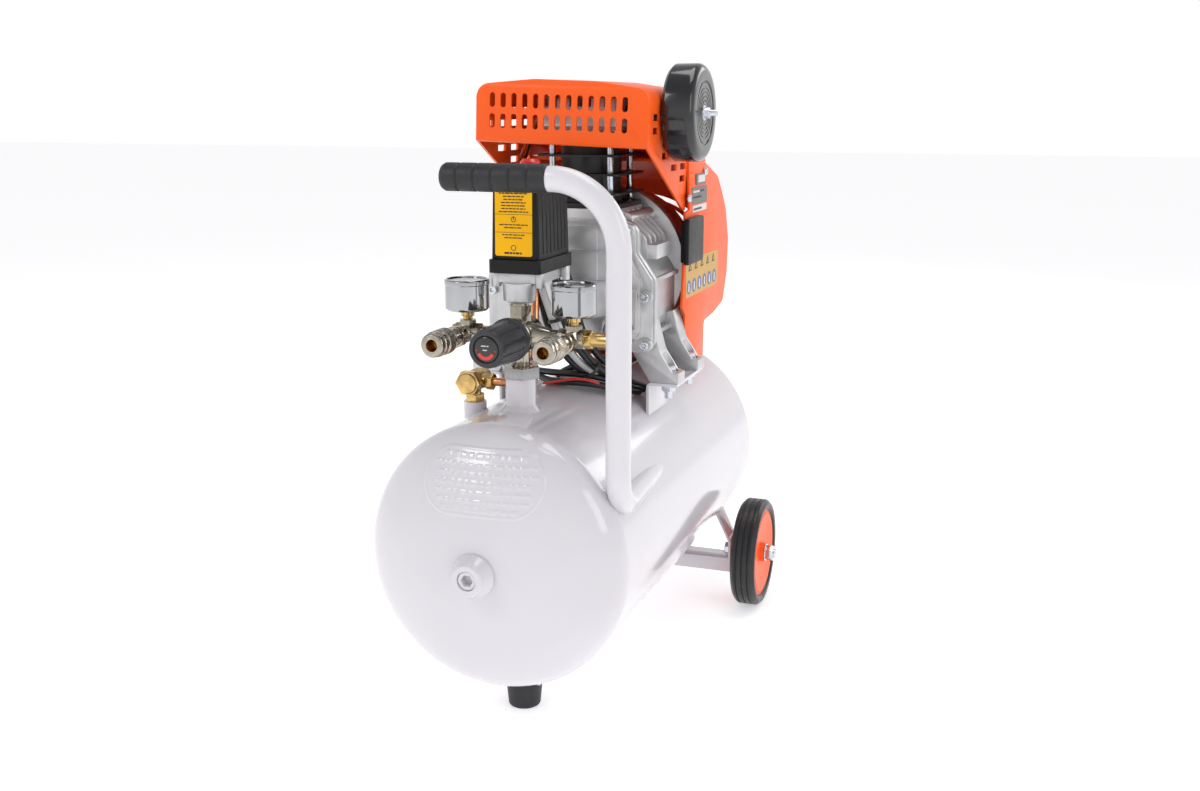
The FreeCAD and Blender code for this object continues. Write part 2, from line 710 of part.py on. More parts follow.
def switch_knob():
    low = cover_top + 1.2
    cap = turning((0, switch_mid_y, low), (0, 0, 1),
                  [(0, 0), (switch_knob_r - 1.5, 0), (switch_knob_r - 1, 1), (switch_knob_r, 9),
                   (switch_knob_r, 13.5), (switch_knob_r - 2.5, 16), (0, 16)])
    return fuse([cap, rod((0, switch_mid_y, switch_base_z + 10), (0, 0, 1), 3, low - switch_base_z - 8)])


# ---------------------------------------------------------------- check valve and pipes
check_z = tank_top + 17
check_front_y = -163.0
port_x = -fin_w / 2 - 8.0
port_y = cyl_y + 8.0
port_z = deck_z + barrel_h + valve_plate_t + 11.0


def check_valve():
    leg = hexagon((valve_x, valve_y, valve_boss_top), (0, 0, 1), 17, 7)
    neck = rod((valve_x, valve_y, valve_boss_top - 8), (0, 0, 1), 6, 22)
    body = rod((valve_x, check_front_y + 9, check_z), (0, 1, 0), 10.5, 26)
    outlet = rod((valve_x, valve_y, check_z), (1, 0, 0), 6.5, 17)
    nut = hexagon((valve_x + 13, valve_y, check_z), (1, 0, 0), 14, 7)
    rear = hexagon((valve_x, check_front_y + 35, check_z), (0, 1, 0), 15, 5)
    brass = fuse([leg, neck, body, outlet, nut, rear])
    cap = fuse([hexagon((valve_x, check_front_y + 9, check_z), (0, -1, 0), 22, 8),
                turning((valve_x, check_front_y + 1, check_z), (0, -1, 0),
                        [(0, 0), (10, 0), (9, 1.4), (0, 1.4)])])
    return group([brass, cap])


def delivery_route():
    """From the check valve's side, up in front of the crankcase and round to the head's left side."""
    return [(valve_x + 20, valve_y, check_z), (-16, valve_y, check_z), (-13, -108, shaft_z - 50),
            (-18, -90, shaft_z + 8), (-34, -80, deck_z - 10), (-64, -50, deck_z + 20),
            (-66, 0, deck_z + 52), (-66, port_y, port_z), (port_x, port_y, port_z)]


def copper_pipes():
    pipe_r = 4.0
    return bent(delivery_route(), pipe_r, [15, 24, 34, 34, 30, 30, 14])


# ---------------------------------------------------------------- pump
lug_ys = [lug_front_y, lug_front_y + lug_pitch]
flange_x = 89.0
flange_bottom = pump_foot_z + 31
shoulder_x = 71.0


def case_outline(inset):
    side = flange_x - inset
    neck = shoulder_x - inset
    bottom = flange_bottom + inset
    top = deck_z - 8 - inset / 2
    return [(-side, bottom, 14), (side, bottom, 14), (side, shaft_z + 2, 10), (neck, shaft_z + 28, 10),
            (neck, top, 16), (-neck, top, 16), (-neck, shaft_z + 28, 10), (-side, shaft_z + 2, 10)]


def leg(y0):
    """One cast leg, from the flange's lower corner down and out to its bolt lug."""
    profile = [(56, flange_bottom + 24, 0), (64, flange_bottom - 1, 6), (83, pump_foot_z, 0),
               (pump_foot_x, pump_foot_z, 1.5), (pump_foot_x, pump_foot_z + foot_t, 1.5),
               (pump_foot_x - 7, pump_foot_z + foot_t + 2, 0), (92, flange_bottom + 1, 20),
               (84, flange_bottom + 31, 0)]
    solid = along_y(profile, y0, y0 + lug_w)
    return solid.cut(rod((bolt_x, y0 + lug_w / 2, pump_foot_z - 5), (0, 0, 1), bolt_d / 2, 30))


def crankcase():
    flange = along_y(case_outline(0), flange_y, flange_y + flange_t)
    body = along_y(case_outline(12), flange_y + flange_t - 1, bell_y + 1)
    bell = rod((0, bell_y, shaft_z), (0, 1, 0), bell_r, 12)
    housing = rod((0, bell_y + 6, shaft_z), (0, 1, 0), motor_r, motor_rear_y - bell_y - 6)
    deck = along_z(rectangle(0, cyl_y, fin_w / 2 - 1, fin_w / 2 - 1, 6), deck_z - 22, deck_z)
    ribs = []
    for y in (-22, -6, 10, 26, 42):
        rib = along_y([(-74, deck_z - 48, 0), (74, deck_z - 48, 0), (72, deck_z - 28, 10),
                       (46, deck_z - 2, 20), (-46, deck_z - 2, 20), (-72, deck_z - 28, 10)], y, y + 4)
        ribs.append(rib)
    side_ribs = [block(sx * 72 - 9, sx * 72 + 9, flange_y + 4, bell_y + 4, z, z + 4)
                 for sx in (-1, 1) for z in (flange_bottom + 13, shaft_z - 4)]
    tie_bosses = [rod((sx * 48, flange_y + 30, deck_z - 10), (0, 1, 0), 6.5, motor_rear_y - flange_y - 30)
                  for sx in (-1, 1)]
    pads = [block(sx * 74 - 9, sx * 74 + 9, -20, 26, shaft_z + 20, shaft_z + 34) for sx in (-1, 1)]
    case = fuse([flange, body, bell, housing, deck] + ribs + side_ribs + tie_bosses + pads)
    legs = []
    for y0 in lug_ys:
        parts = leg(y0).cut(case).Solids
        one = max(parts, key=lambda part: part.Volume)
        legs += [one, mirrored(one)]
    chamber = along_y(case_outline(19), flange_y - 1, bell_y - 14)
    bores = [rod((0, bell_y - 20, shaft_z), (0, 1, 0), bearing_r, 60),
             rod((0, bell_y + 14, shaft_z), (0, 1, 0), motor_r - 6, 200),
             rod((0, cyl_y, shaft_z), (0, 0, 1), bore_r + 5, 120)]
    seats = [rod((sx * bolt_x, y + lug_w / 2, pump_foot_z + foot_t), (0, 0, 1), bolt_d + 1.5, 20)
             for sx in (-1, 1) for y in lug_ys]
    vents = [block(sx * 80 - 12, sx * 80 + 12, bell_y + 20 + 16 * k, bell_y + 29 + 16 * k,
                   shaft_z - 20, shaft_z + 20) for sx in (-1, 1) for k in range(2)]
    screws = [rod((x, flange_y - 1, z), (0, 1, 0), 2.5, 15) for x, z in cover_screw_places()]
    case = case.cut([chamber] + bores + vents + screws)
    return group([case] + [one.cut([chamber] + seats + screws) for one in legs])


bearing_r = 20.0


def cover_screw_places():
    right = [(flange_x - 8, flange_bottom + 9), (flange_x - 8, shaft_z - 14), (shoulder_x - 9, deck_z - 18)]
    return right + [(-x, z) for x, z in right]


sight_x, sight_z, sight_r = 52.0, flange_bottom + 21, 14.0


def crankcase_cover():
    front = flange_y - cover_t
    plate = along_y(case_outline(1.5), flange_y - 5, flange_y)
    raised = along_y(case_outline(13), front, flange_y - 4)
    panel = along_y(rectangle(-6, shaft_z + 8, 38, 46, 8), front - 3, front + 1)
    steps = [block(-60, 60, front - 5, front, z, z + 3) for z in (shaft_z - 2, shaft_z + 28)]
    frame = along_y(rectangle(66, shaft_z - 28, 8, 22, 4), front - 3, front + 1)
    frame = frame.cut(along_y(rectangle(66, shaft_z - 28, 5, 19, 3), front - 4, front + 0.4))
    ring = rod((sight_x, front - 3, sight_z), (0, 1, 0), sight_r + 4, 6)
    bosses = [rod((x, front + 1, z), (0, 1, 0), 7, cover_t - 1) for x, z in cover_screw_places()]
    cover = fuse([plate, raised, panel, frame, ring] + steps + bosses)
    holes = [rod((x, front - 10, z), (0, 1, 0), 2.5, 30) for x, z in cover_screw_places()]
    inside = along_y(case_outline(19), flange_y - 5, flange_y + 1)
    return cover.cut(holes + [inside, rod((sight_x, front - 4, sight_z), (0, 1, 0), sight_r, 30)])


def cover_screws():
    front = flange_y - cover_t
    screws = []
    for x, z in cover_screw_places():
        head = rod((x, front + 1, z), (0, -1, 0), 4.6, 4.4)
        socket = hexagon((x, front - 4, z), (0, 1, 0), 4, 3)
        screws.append(fuse([head, rod((x, front, z), (0, 1, 0), 2.5, cover_t + 12)]).cut(socket))
    return group(screws)


def oil_sight_glass():
    front = flange_y - cover_t
    bezel = pipe((sight_x, front - 4.5, sight_z), (0, 1, 0), sight_r, sight_r - 4, 6)
    lens = rod((sight_x, front - 2.5, sight_z), (0, 1, 0), sight_r - 4, 3)
    return fuse([bezel, lens])


def stud_places():
    half = stud_pitch / 2
    return [(sx * half, cyl_y + sy * half) for sx in (-1, 1) for sy in (-1, 1)]


def stud_holes(z0, z1, slack=0.0):
    return [rod((x, y, z0), (0, 0, 1), stud_d / 2 + slack, z1 - z0) for x, y in stud_places()]


barrel_top = deck_z + barrel_h


def cylinder():
    half = fin_w / 2
    barrel = rod((0, cyl_y, deck_z), (0, 0, 1), barrel_r, barrel_h)
    feet = [along_z(rectangle(0, cyl_y, half - 2, half - 2, 6), z, z + 5) for z in (deck_z, barrel_top - 5)]
    count = int((barrel_top - 6 - fin_z) / fin_pitch) + 1
    fins = [along_z(rectangle(0, cyl_y, half, half, 5), fin_z + k * fin_pitch, fin_z + k * fin_pitch + fin_t)
            for k in range(count)]
    body = fuse([barrel] + feet + fins)
    return body.cut([rod((0, cyl_y, deck_z - 1), (0, 0, 1), bore_r, barrel_h + 2)]
                    + stud_holes(deck_z - 1, barrel_top + 1))


head_z = barrel_top + valve_plate_t


def valve_plate():
    half = fin_w / 2 - 1
    plate = along_z(rectangle(0, cyl_y, half, half, 6), barrel_top, head_z)
    ports = [rod((x, cyl_y, barrel_top - 1), (0, 0, 1), 4, 10) for x in (-10, 10)]
    reeds = [block(-16, -4, cyl_y - 6, cyl_y + 14, head_z, head_z + 0.4),
             block(4, 16, cyl_y - 14, cyl_y + 6, barrel_top - 0.4, barrel_top)]
    return group([plate.cut(ports + stud_holes(barrel_top - 1, head_z + 1))] + reeds)


def cylinder_head():
    half = fin_w / 2
    base = along_z(rectangle(0, cyl_y, half, half, 6), head_z, head_z + head_h)
    slots = [block(-half + 9 + 9 * k, -half + 14 + 9 * k, cyl_y - half - 1, cyl_y + half + 1,
                   head_z + 19, head_z + head_h + 1) for k in range(8)]
    columns = [rod((x, y, head_z), (0, 0, 1), 6.5, head_h) for x, y in stud_places()]
    chambers = [block(-30, -3, cyl_y - 24, cyl_y + 30, head_z, head_z + 15),
                block(3, 30, cyl_y - 24, cyl_y + 24, head_z, head_z + 15)]
    intake = rod((20, filter_y, filter_z), (1, 0, 0), 7, 60)
    head = base.cut(slots).fuse(columns + [rod((port_x, port_y, port_z), (1, 0, 0), 7.5, 14)])
    outlet = rod((port_x - 1, port_y, port_z), (1, 0, 0), 4.0, 30)
    holes = stud_holes(head_z - 1, head_z + head_h + 1)
    return head.cut(chambers + [intake, outlet] + holes).removeSplitter()


def head_studs():
    top = head_z + head_h
    studs = []
    for x, y in stud_places():
        studs += [rod((x, y, deck_z), (0, 0, 1), stud_d / 2, top + 8 - deck_z),
                  hexagon((x, y, top + 1.4), (0, 0, 1), 10, 5.5).cut(
                      rod((x, y, top), (0, 0, 1), stud_d / 2, 20)),
                  pipe((x, y, top), (0, 0, 1), 6.5, stud_d / 2, 1.4)]
    return group(studs)


wrist_z = shaft_z + crank_r + rod_l
rod_t = 14.0
disc_y = cyl_y + rod_t / 2 + 1.5


def piston():
    crown = barrel_top - stroke_gap
    skirt = crown - 42
    body = rod((0, cyl_y, skirt), (0, 0, 1), bore_r - running, crown - skirt)
    grooves = [pipe((0, cyl_y, crown - 5 - 5 * k), (0, 0, 1), bore_r + 1, bore_r - 1.5, 1.6)
               for k in range(3)]
    hollow = rod((0, cyl_y, skirt - 1), (0, 0, 1), bore_r - 4, 32)
    pin = rod((-bore_r + 2, cyl_y, wrist_z), (1, 0, 0), 5, 2 * bore_r - 4)
    bores = rod((-bore_r - 1, cyl_y, wrist_z), (1, 0, 0), 5, 2 * bore_r + 2)
    shell = body.cut(grooves + [hollow, bores])
    return group([shell, pin.common(rod((0, cyl_y, skirt), (0, 0, 1), bore_r - 1, 60))])


def con_rod():
    crank_pin_z = shaft_z + crank_r
    y0 = cyl_y - rod_t / 2
    big = pipe((0, y0, crank_pin_z), (0, 1, 0), 16, 10, rod_t)
    shank = block(-5, 5, y0 + 3, y0 + rod_t - 3, crank_pin_z + 13, wrist_z - 7)
    small = pipe((-8, cyl_y, wrist_z), (1, 0, 0), 8.5, 5, 16)
    dipper = block(-2, 2, y0 + 5, y0 + 9, crank_pin_z - 28, crank_pin_z - 13)
    return fuse([big, shank.cut(rod((-20, cyl_y, wrist_z), (1, 0, 0), 6, 40)), small, dipper])


def crankshaft():
    shaft = rod((0, disc_y + 8, shaft_z), (0, 1, 0), shaft_r, fan_y + 22 - disc_y - 8)
    disc = rod((0, disc_y, shaft_z), (0, 1, 0), 30, 10)
    weight = along_y([(-30, shaft_z, 0), (-34, shaft_z - 20, 0), (-20, shaft_z - 44, 8),
                      (20, shaft_z - 44, 8), (34, shaft_z - 20, 0), (30, shaft_z, 0)],
                     disc_y, disc_y + 10)
    stub = rod((0, disc_y + 1, shaft_z + crank_r), (0, -1, 0), 8, 1.9)
    return fuse([shaft, disc, weight, stub])


front_bearing_y = bell_y - 12
rear_bearing_y = motor_rear_y + 2


def shaft_bearings():
    return group(pipe((0, y, shaft_z), (0, 1, 0), bearing_r, shaft_r + running, 12)
                 for y in (front_bearing_y, rear_bearing_y))


stator_y = bell_y + 24
stator_l = 30.0


def motor_stator():
    core = pipe((0, stator_y, shaft_z), (0, 1, 0), motor_r - 6, 45, stator_l)
    coils = [pipe((0, y, shaft_z), (0, 1, 0), motor_r - 14, 46, 9)
             for y in (stator_y - 8, stator_y + stator_l - 1)]
    return fuse([core] + coils)


def motor_rotor():
    core = pipe((0, stator_y, shaft_z), (0, 1, 0), 44.4, shaft_r, stator_l)
    rings = [pipe((0, y, shaft_z), (0, 1, 0), 41, 26, 6) for y in (stator_y - 5, stator_y + stator_l - 1)]
    return fuse([core] + rings)


def motor_end_shield():
    plate = rod((0, motor_rear_y, shaft_z), (0, 1, 0), motor_r, 5)
    hub_ring = rod((0, motor_rear_y, shaft_z), (0, 1, 0), bearing_r + 5, 15)
    shield = fuse([plate, hub_ring])
    windows = []
    for k in range(6):
        window = block(-14, 14, motor_rear_y - 1, motor_rear_y + 6, shaft_z + 36, shaft_z + 64)
        window.rotate(V(0, 0, shaft_z), Y, 60 * k + 30)
        windows.append(window)
    holes = [rod((0, rear_bearing_y, shaft_z), (0, 1, 0), bearing_r, 30),
             rod((0, motor_rear_y - 1, shaft_z), (0, 1, 0), shaft_r + 2, 30)]
    return shield.cut(windows + holes)


fan_y = motor_rear_y + 20


def cooling_fan():
    hub_part = rod((0, fan_y, shaft_z), (0, 1, 0), 20, 20)
    disc = rod((0, fan_y, shaft_z), (0, 1, 0), 34, 3)
    blades = []
    for k in range(9):
        blade = block(14, fan_r - 0.5, fan_y + 1, fan_y + 20, shaft_z - 1.2, shaft_z + 1.2)
        blade.rotate(V(0, fan_y + 10, shaft_z), X, 28)
        blade.rotate(V(0, 0, shaft_z), Y, 40 * k)
        blades.append(blade)
    fan = fuse([hub_part, disc] + blades)
    return fan.cut(rod((0, fan_y - 10, shaft_z), (0, 1, 0), shaft_r, 60))


# ---------------------------------------------------------------- pump mounting
def pump_rails():
    y0, y1 = lug_front_y - 1, lug_ys[1] + lug_w + 1
    section = [(rail_web_x, tank_surface_z(rail_web_x) - 12, 0),
               (rail_web_x + rail_t, tank_surface_z(rail_web_x) - 12, 0),
               (rail_web_x + rail_t, pump_foot_z - rail_t, 2), (pump_foot_x - 1, pump_foot_z - rail_t, 0),
               (pump_foot_x - 1, pump_foot_z, 0), (rail_web_x, pump_foot_z, 5)]
    rail = along_y(section, y0, y1).cut(tank_outside())
    rail = rail.cut([rod((bolt_x, y + lug_w / 2, pump_foot_z - 10), (0, 0, 1), bolt_d / 2, 20)
                     for y in lug_ys])
    return group([rail, mirrored(rail)])


def hex_bolt(x, y, seat_z, clamp_z, tip_z):
    """A bolt whose head sits on seat_z and whose nut is under clamp_z; its end is at tip_z."""
    washer = pipe((x, y, seat_z), (0, 0, 1), bolt_d, bolt_d / 2, 1.5)
    shank = rod((x, y, tip_z), (0, 0, 1), bolt_d / 2, seat_z - tip_z + 1.5)
    head = hexagon((x, y, seat_z + 1.5), (0, 0, 1), bolt_d * 1.6, bolt_d * 0.68)
    nut = hexagon((x, y, clamp_z), (0, 0, -1), bolt_d * 1.6, bolt_d * 0.8)
    return [fuse([shank, head]), washer, nut.cut(rod((x, y, clamp_z), (0, 0, -1), bolt_d / 2, 20))]


def mount_bolts():
    """The pump's four mounting bolts and the front foot's bolt, with their nuts and washers."""
    bolts = list(front_foot_bolt())
    for y0 in lug_ys:
        for side in (-1, 1):
            bolts += hex_bolt(side * bolt_x, y0 + lug_w / 2, pump_foot_z + foot_t, pump_foot_z - rail_t,
                              pump_foot_z - 17)
    return group(bolts)


def front_foot_bolt():
    shank = rod((0, foot_y, 12), (0, 0, 1), foot_bolt_r, foot_h + plate_t - 4)
    head = rod((0, foot_y, 6.5), (0, 0, 1), 7.0, 5.5)
    nut = hexagon((0, foot_y, foot_h + plate_t), (0, 0, 1), bolt_d * 1.6, 5)
    nut = nut.cut(rod((0, foot_y, 0), (0, 0, 1), foot_bolt_r, 60))
    return [fuse([shank, head]), nut]


# ---------------------------------------------------------------- plastics
hood_mid_z = deck_z + 92


def hood_section(inset):
    """The hood looked at from the front: straight sides and a crowned top."""
    half = hood_w / 2 - inset
    top = hood_top_z - inset
    corner = 14 - inset / 2
    return [(-half, shaft_z, 0), (half, shaft_z, 0), (half, top - 6, corner), (30, top + 0.6, 60),
            (-30, top + 0.6, 60), (-half, top - 6, corner)]


def hood_side(inset):
    """The hood looked at from the right: (y, z, radius) corners."""
    front = hood_front_y + inset
    top = hood_top_z - inset + 2
    drop = 60 if inset > 0 else 0
    return [(front, hood_bottom_z - drop, 0), (76, deck_z - 9 - drop, 0), (72, shroud_top - 1, 0),
            (146 - inset * 1.4, shroud_top - 2 - drop / 3, 0), (66 - inset * 0.6, top, 20), (front, top, 10)]


def side_hole_places():
    """Rows of small windows in the hood's sides, where they clear its sloping lower edge."""
    places = []
    for column in range(4):
        for row in range(-2, 5):
            y, z = -43 + 33 * column, hood_bottom_z - 22 + 12.5 * row
            lower_edge = hood_bottom_z - (y - 12 - hood_front_y) * 0.51
            if z - 3.5 > lower_edge + 9:
                places.append((y, z))
    return places


def hood():
    outer = along_y(hood_section(0), hood_front_y, 150).common(along_x(hood_side(0), -100, 100))
    inner = along_y(hood_section(hood_wall), hood_front_y + hood_wall, 160)
    inner = inner.common(along_x(hood_side(hood_wall), -100, 100))
    shell = outer.cut(inner)
    slots = []
    for k in range(13):
        for z in (hood_bottom_z + 19.6, hood_bottom_z + 39.3):
            x = -71.5 + 11.35 * k
            slots.append(along_y(rectangle(x, z, 2.9, 7, 2.8), hood_front_y - 2, hood_front_y + 8))
    windows = [along_x(rectangle(y, z, 9.5, 3.2, 1), -100, 100) for y, z in side_hole_places()]
    mouth = rod((60, filter_y, filter_z), (1, 0, 0), 16, 50)
    shell = shell.cut(slots + windows + [mouth])
    shell.rotate(V(0, 0, hood_mid_z), Y, hood_roll)
    solid = max(shell.Solids, key=lambda s: s.Volume)
    return solid.cut(shroud_outer())


def shroud_profile(inset):
    """The fan shroud looked at from the right: (y, z, radius) corners. The hollow is open at the front."""
    front = -20 if inset > 0 else 0
    bottom = tank_top + inset
    top = shroud_top - inset
    rim = [(56, 60), (54, 11), (50, -38), (62, -48), (62, -75)]
    corners = [(y + front, shaft_z + up, 0) for y, up in rim]
    corners += [(100 + front, bottom, 0), (138 - inset, bottom, 0)]
    corners += [(138 - inset, shaft_z - 66 + inset, 6), (178 - inset, shaft_z - 63 + inset, 10),
                (222 - inset, shaft_z - 55 + inset, 8), (237 - inset, shaft_z - 23, 12),
                (240 - inset, shaft_z + 16, 12), (226 - inset, shaft_z + 52 - inset, 14),
                (191 - inset / 2, shaft_z + 91 - inset, 22), (119, top, 30)]
    return corners + [(72 + front, top, 0), (72 + front, shaft_z + 62, 0)]


def shroud_section(inset):
    half = shroud_w / 2 - inset
    low, high, roof = shaft_z - 115, shaft_z + 70, shaft_z + 140
    return [(-half + 1, low, 0), (half - 1, low, 0), (half, shaft_z, 0), (half, high, 0),
            (half - 3, roof, 0), (-half + 3, roof, 0), (-half, high, 0), (-half, shaft_z, 0)]


def shroud_outer():
    return along_y(shroud_section(0), 30, 250).common(along_x(shroud_profile(0), -100, 100))


def fan_shroud():
    inner = along_y(shroud_section(shroud_wall), 0, 260)
    inner = inner.common(along_x(shroud_profile(shroud_wall), -100, 100))
    shell = shroud_outer().cut(inner)
    rings = []
    for k in range(5):
        r = 18 + 11 * k
        ring = pipe((0, 200, shaft_z), (0, 1, 0), r + 6, r, 50)
        spokes = [block(-2.5, 2.5, 190, 260, shaft_z - 90, shaft_z + 90) for _ in range(3)]
        for n, spoke in enumerate(spokes):
            spoke.rotate(V(0, 0, shaft_z), Y, 60 * n)
        rings.append(ring.cut(spokes))
    notch = block(60, 100, 30, cap_y + cap_half_y + gap, cap_z - cap_half_z - gap, cap_z + cap_half_z + gap)
    solid = max(shell.cut(rings + [notch]).Solids, key=lambda s: s.Volume)
    return solid


cap_y, cap_z = 78.0, shaft_z + 30
cap_half_y, cap_half_z = 28.0, 22.0
cap_in_x = bell_r + 0.2


def capacitor_box():
    case = along_x(rectangle(cap_y, cap_z, cap_half_y, cap_half_z, 3), cap_in_x, cap_in_x + 7)
    lid = along_x(rectangle(cap_y, cap_z, cap_half_y + 2, cap_half_z + 2, 4),
                  shroud_w / 2 + gap, shroud_w / 2 + 6)
    return fuse([case, lid])


# ---------------------------------------------------------------- air filter
filter_x = filter_in_x + filter_t


def filter_housing():
    r = filter_r
    drum = turning((filter_in_x, filter_y, filter_z), (1, 0, 0),
                   [(0, 0), (r - 3, 0), (r, 3), (r, filter_t - 13), (r - 1.6, filter_t - 7.5),
                    (r - 6, filter_t - 2.6), (r - 12, filter_t), (r - 16, filter_t), (r - 17, filter_t - 1.6),
                    (0, filter_t - 1.6)])
    hollow = rod((filter_in_x + 3, filter_y, filter_z), (1, 0, 0), r - 7, filter_t - 9)
    spout = rod((fin_w / 2, filter_y, filter_z), (1, 0, 0), 11, filter_in_x - fin_w / 2 + 1)
    housing = drum.cut(hollow).fuse(spout)
    return housing.cut([rod((20, filter_y, filter_z), (1, 0, 0), 7, filter_in_x - 15),
                        rod((20, filter_y, filter_z), (1, 0, 0), 3, 120)]).removeSplitter()


def filter_element():
    ring = pipe((filter_in_x + 3, filter_y, filter_z), (1, 0, 0), filter_r - 7, 18, filter_t - 9)
    return ring


def filter_stud():
    stud = rod((filter_in_x - 20, filter_y, filter_z), (1, 0, 0), 3, filter_x - filter_in_x + 32)
    base = filter_x - 1.6
    washer = rod((base, filter_y, filter_z), (1, 0, 0), 7.5, 1.2)
    nut = hexagon((base + 1.2, filter_y, filter_z), (1, 0, 0), 9.5, 5)
    return fuse([stud, washer, nut])


# ---------------------------------------------------------------- cable from switch to motor
cable_r = 3.6


def cable_route():
    """From the switch's gland, down behind the manifold, under the crankcase and up into the motor."""
    y = switch_back_y + 9
    z = switch_base_z + 6
    low = tank_top + 11
    return [(0, y, z), (0, y + 20, z), (8, y + 34, z - 34), (20, y + 28, z - 78), (40, y + 34, low + 14),
            (46, y + 80, low + 1), (44, y + 140, low), (38, y + 184, low + 2), (30, 106, low + 10),
            (26, 109, shaft_z - math.sqrt(motor_r ** 2 - (26 - cable_r) ** 2))]


def motor_cable():
    return bent(cable_route(), cable_r)


NODES = {
    "tank_shell": tank_shell,
    "tank_dome_front": lambda: tank_dome(-1), "tank_dome_rear": lambda: tank_dome(1),
    "inspection_plugs": inspection_plugs, "drain_valve": drain_valve, "drain_screw": drain_screw,
    "wheel_brackets": wheel_brackets, "axle_hardware": axle_hardware,
    "tyre_right": tyre, "tyre_left": lambda: mirrored(tyre()),
    "hub_right": hub, "hub_left": lambda: mirrored(hub()),
    "front_foot_bracket": front_foot_bracket, "front_foot": front_foot,
    "handle_tube": handle_tube, "handle_grip": handle_grip,
    "regulator_block": manifold_body,
    "regulator_knob": regulator_knob, "outlet_tees": outlet_tees,
    "gauge_cases": gauge_cases, "gauge_dials": gauge_dials, "gauge_lenses": gauge_lenses,
    "needle_left": lambda: gauge_needle(-1), "needle_right": lambda: gauge_needle(1),
    "coupler_bodies": coupler_bodies, "coupler_sleeve_left": lambda: coupler_sleeve(-1),
    "coupler_sleeve_right": lambda: coupler_sleeve(1),
    "safety_valve": safety_valve, "safety_ring": safety_ring,
    "switch_mount": switch_mount, "switch_base": switch_base, "switch_cover": switch_cover,
    "switch_knob": switch_knob, "check_valve": check_valve, "copper_pipe": copper_pipes,
    "pump_rails": pump_rails, "mount_bolts": mount_bolts,
    "crankcase": crankcase, "crankcase_cover": crankcase_cover, "cover_screws": cover_screws,
    "oil_sight_glass": oil_sight_glass, "cylinder": cylinder, "valve_plate": valve_plate,
    "cylinder_head": cylinder_head, "head_studs": head_studs, "piston": piston, "con_rod": con_rod,
    "crankshaft": crankshaft, "shaft_bearings": shaft_bearings, "motor_stator": motor_stator,
    "motor_rotor": motor_rotor, "motor_end_shield": motor_end_shield, "cooling_fan": cooling_fan,
    "hood": hood, "fan_shroud": fan_shroud, "capacitor_box": capacitor_box,
    "filter_housing": filter_housing, "filter_element": filter_element, "filter_stud": filter_stud,
    "motor_cable": motor_cable,
}

os.makedirs("parts", exist_ok=True)
for name, make in NODES.items():
    shape = make()
    if not shape.isValid():
        print("invalid:", name)
    shape.exportStep(os.path.join("parts", name + ".step"))
print(len(NODES), "nodes")
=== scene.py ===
"""Looks of the air compressor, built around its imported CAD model. Lengths are in metres."""

import json
import math
import random

import bmesh
import bpy
from mathutils import Matrix, Vector


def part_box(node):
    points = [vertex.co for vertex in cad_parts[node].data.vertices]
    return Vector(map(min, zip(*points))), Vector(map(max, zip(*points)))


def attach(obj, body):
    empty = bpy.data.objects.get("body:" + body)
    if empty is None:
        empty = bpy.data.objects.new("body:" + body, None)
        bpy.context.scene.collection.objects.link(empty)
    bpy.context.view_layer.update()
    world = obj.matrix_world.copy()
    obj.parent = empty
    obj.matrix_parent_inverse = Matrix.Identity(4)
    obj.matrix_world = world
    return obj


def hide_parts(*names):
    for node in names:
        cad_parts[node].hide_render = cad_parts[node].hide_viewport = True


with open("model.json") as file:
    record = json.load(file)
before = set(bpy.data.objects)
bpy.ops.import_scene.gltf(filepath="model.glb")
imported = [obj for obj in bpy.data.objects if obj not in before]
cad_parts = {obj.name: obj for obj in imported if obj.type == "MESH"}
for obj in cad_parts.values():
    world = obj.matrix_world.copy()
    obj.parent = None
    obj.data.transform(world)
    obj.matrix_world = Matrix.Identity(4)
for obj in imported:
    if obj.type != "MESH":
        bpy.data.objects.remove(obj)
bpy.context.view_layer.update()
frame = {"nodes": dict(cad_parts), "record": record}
NODES = frame["nodes"]
ROOT = "compressor"
MM = 0.001


# ---------------------------------------------------------------- camera, lights, floor
CAMERA_AT = (0.4611, -1.2494, 0.5723)
CAMERA_TURN = 19.61        # degrees to the left of straight ahead
CAMERA_DIP = 12.77         # degrees below the horizon
CAMERA_LENS = 38.83


def make_camera():
    data = bpy.data.cameras.new("camera")
    data.lens = CAMERA_LENS
    data.sensor_width = 36.0
    camera = bpy.data.objects.new("camera", data)
    camera.location = CAMERA_AT
    camera.rotation_euler = (math.radians(90 - CAMERA_DIP), 0, math.radians(CAMERA_TURN))
    bpy.context.collection.objects.link(camera)
    bpy.context.scene.camera = camera


def soft_box(name, at, target, size, power, color=(1, 1, 1)):
    data = bpy.data.lights.new(name, "AREA")
    data.shape = "RECTANGLE"
    data.size, data.size_y = size
    data.energy = power
    data.color = color
    light = bpy.data.objects.new(name, data)
    light.location = at
    aim = Vector(target) - Vector(at)
    light.rotation_euler = aim.to_track_quat("-Z", "Y").to_euler()
    bpy.context.collection.objects.link(light)


def make_lights():
    middle = (0, 0, 0.3)
    soft_box("key", (-1.3, -1.9, 2.2), middle, (1.0, 0.8), 15)
    soft_box("fill", (2.4, -0.9, 1.3), middle, (0.7, 1.4), 7)
    soft_box("top", (0.3, 0.3, 2.3), middle, (1.6, 0.9), 13)
    soft_box("back", (1.4, 2.2, 1.4), middle, (1.4, 0.8), 8)


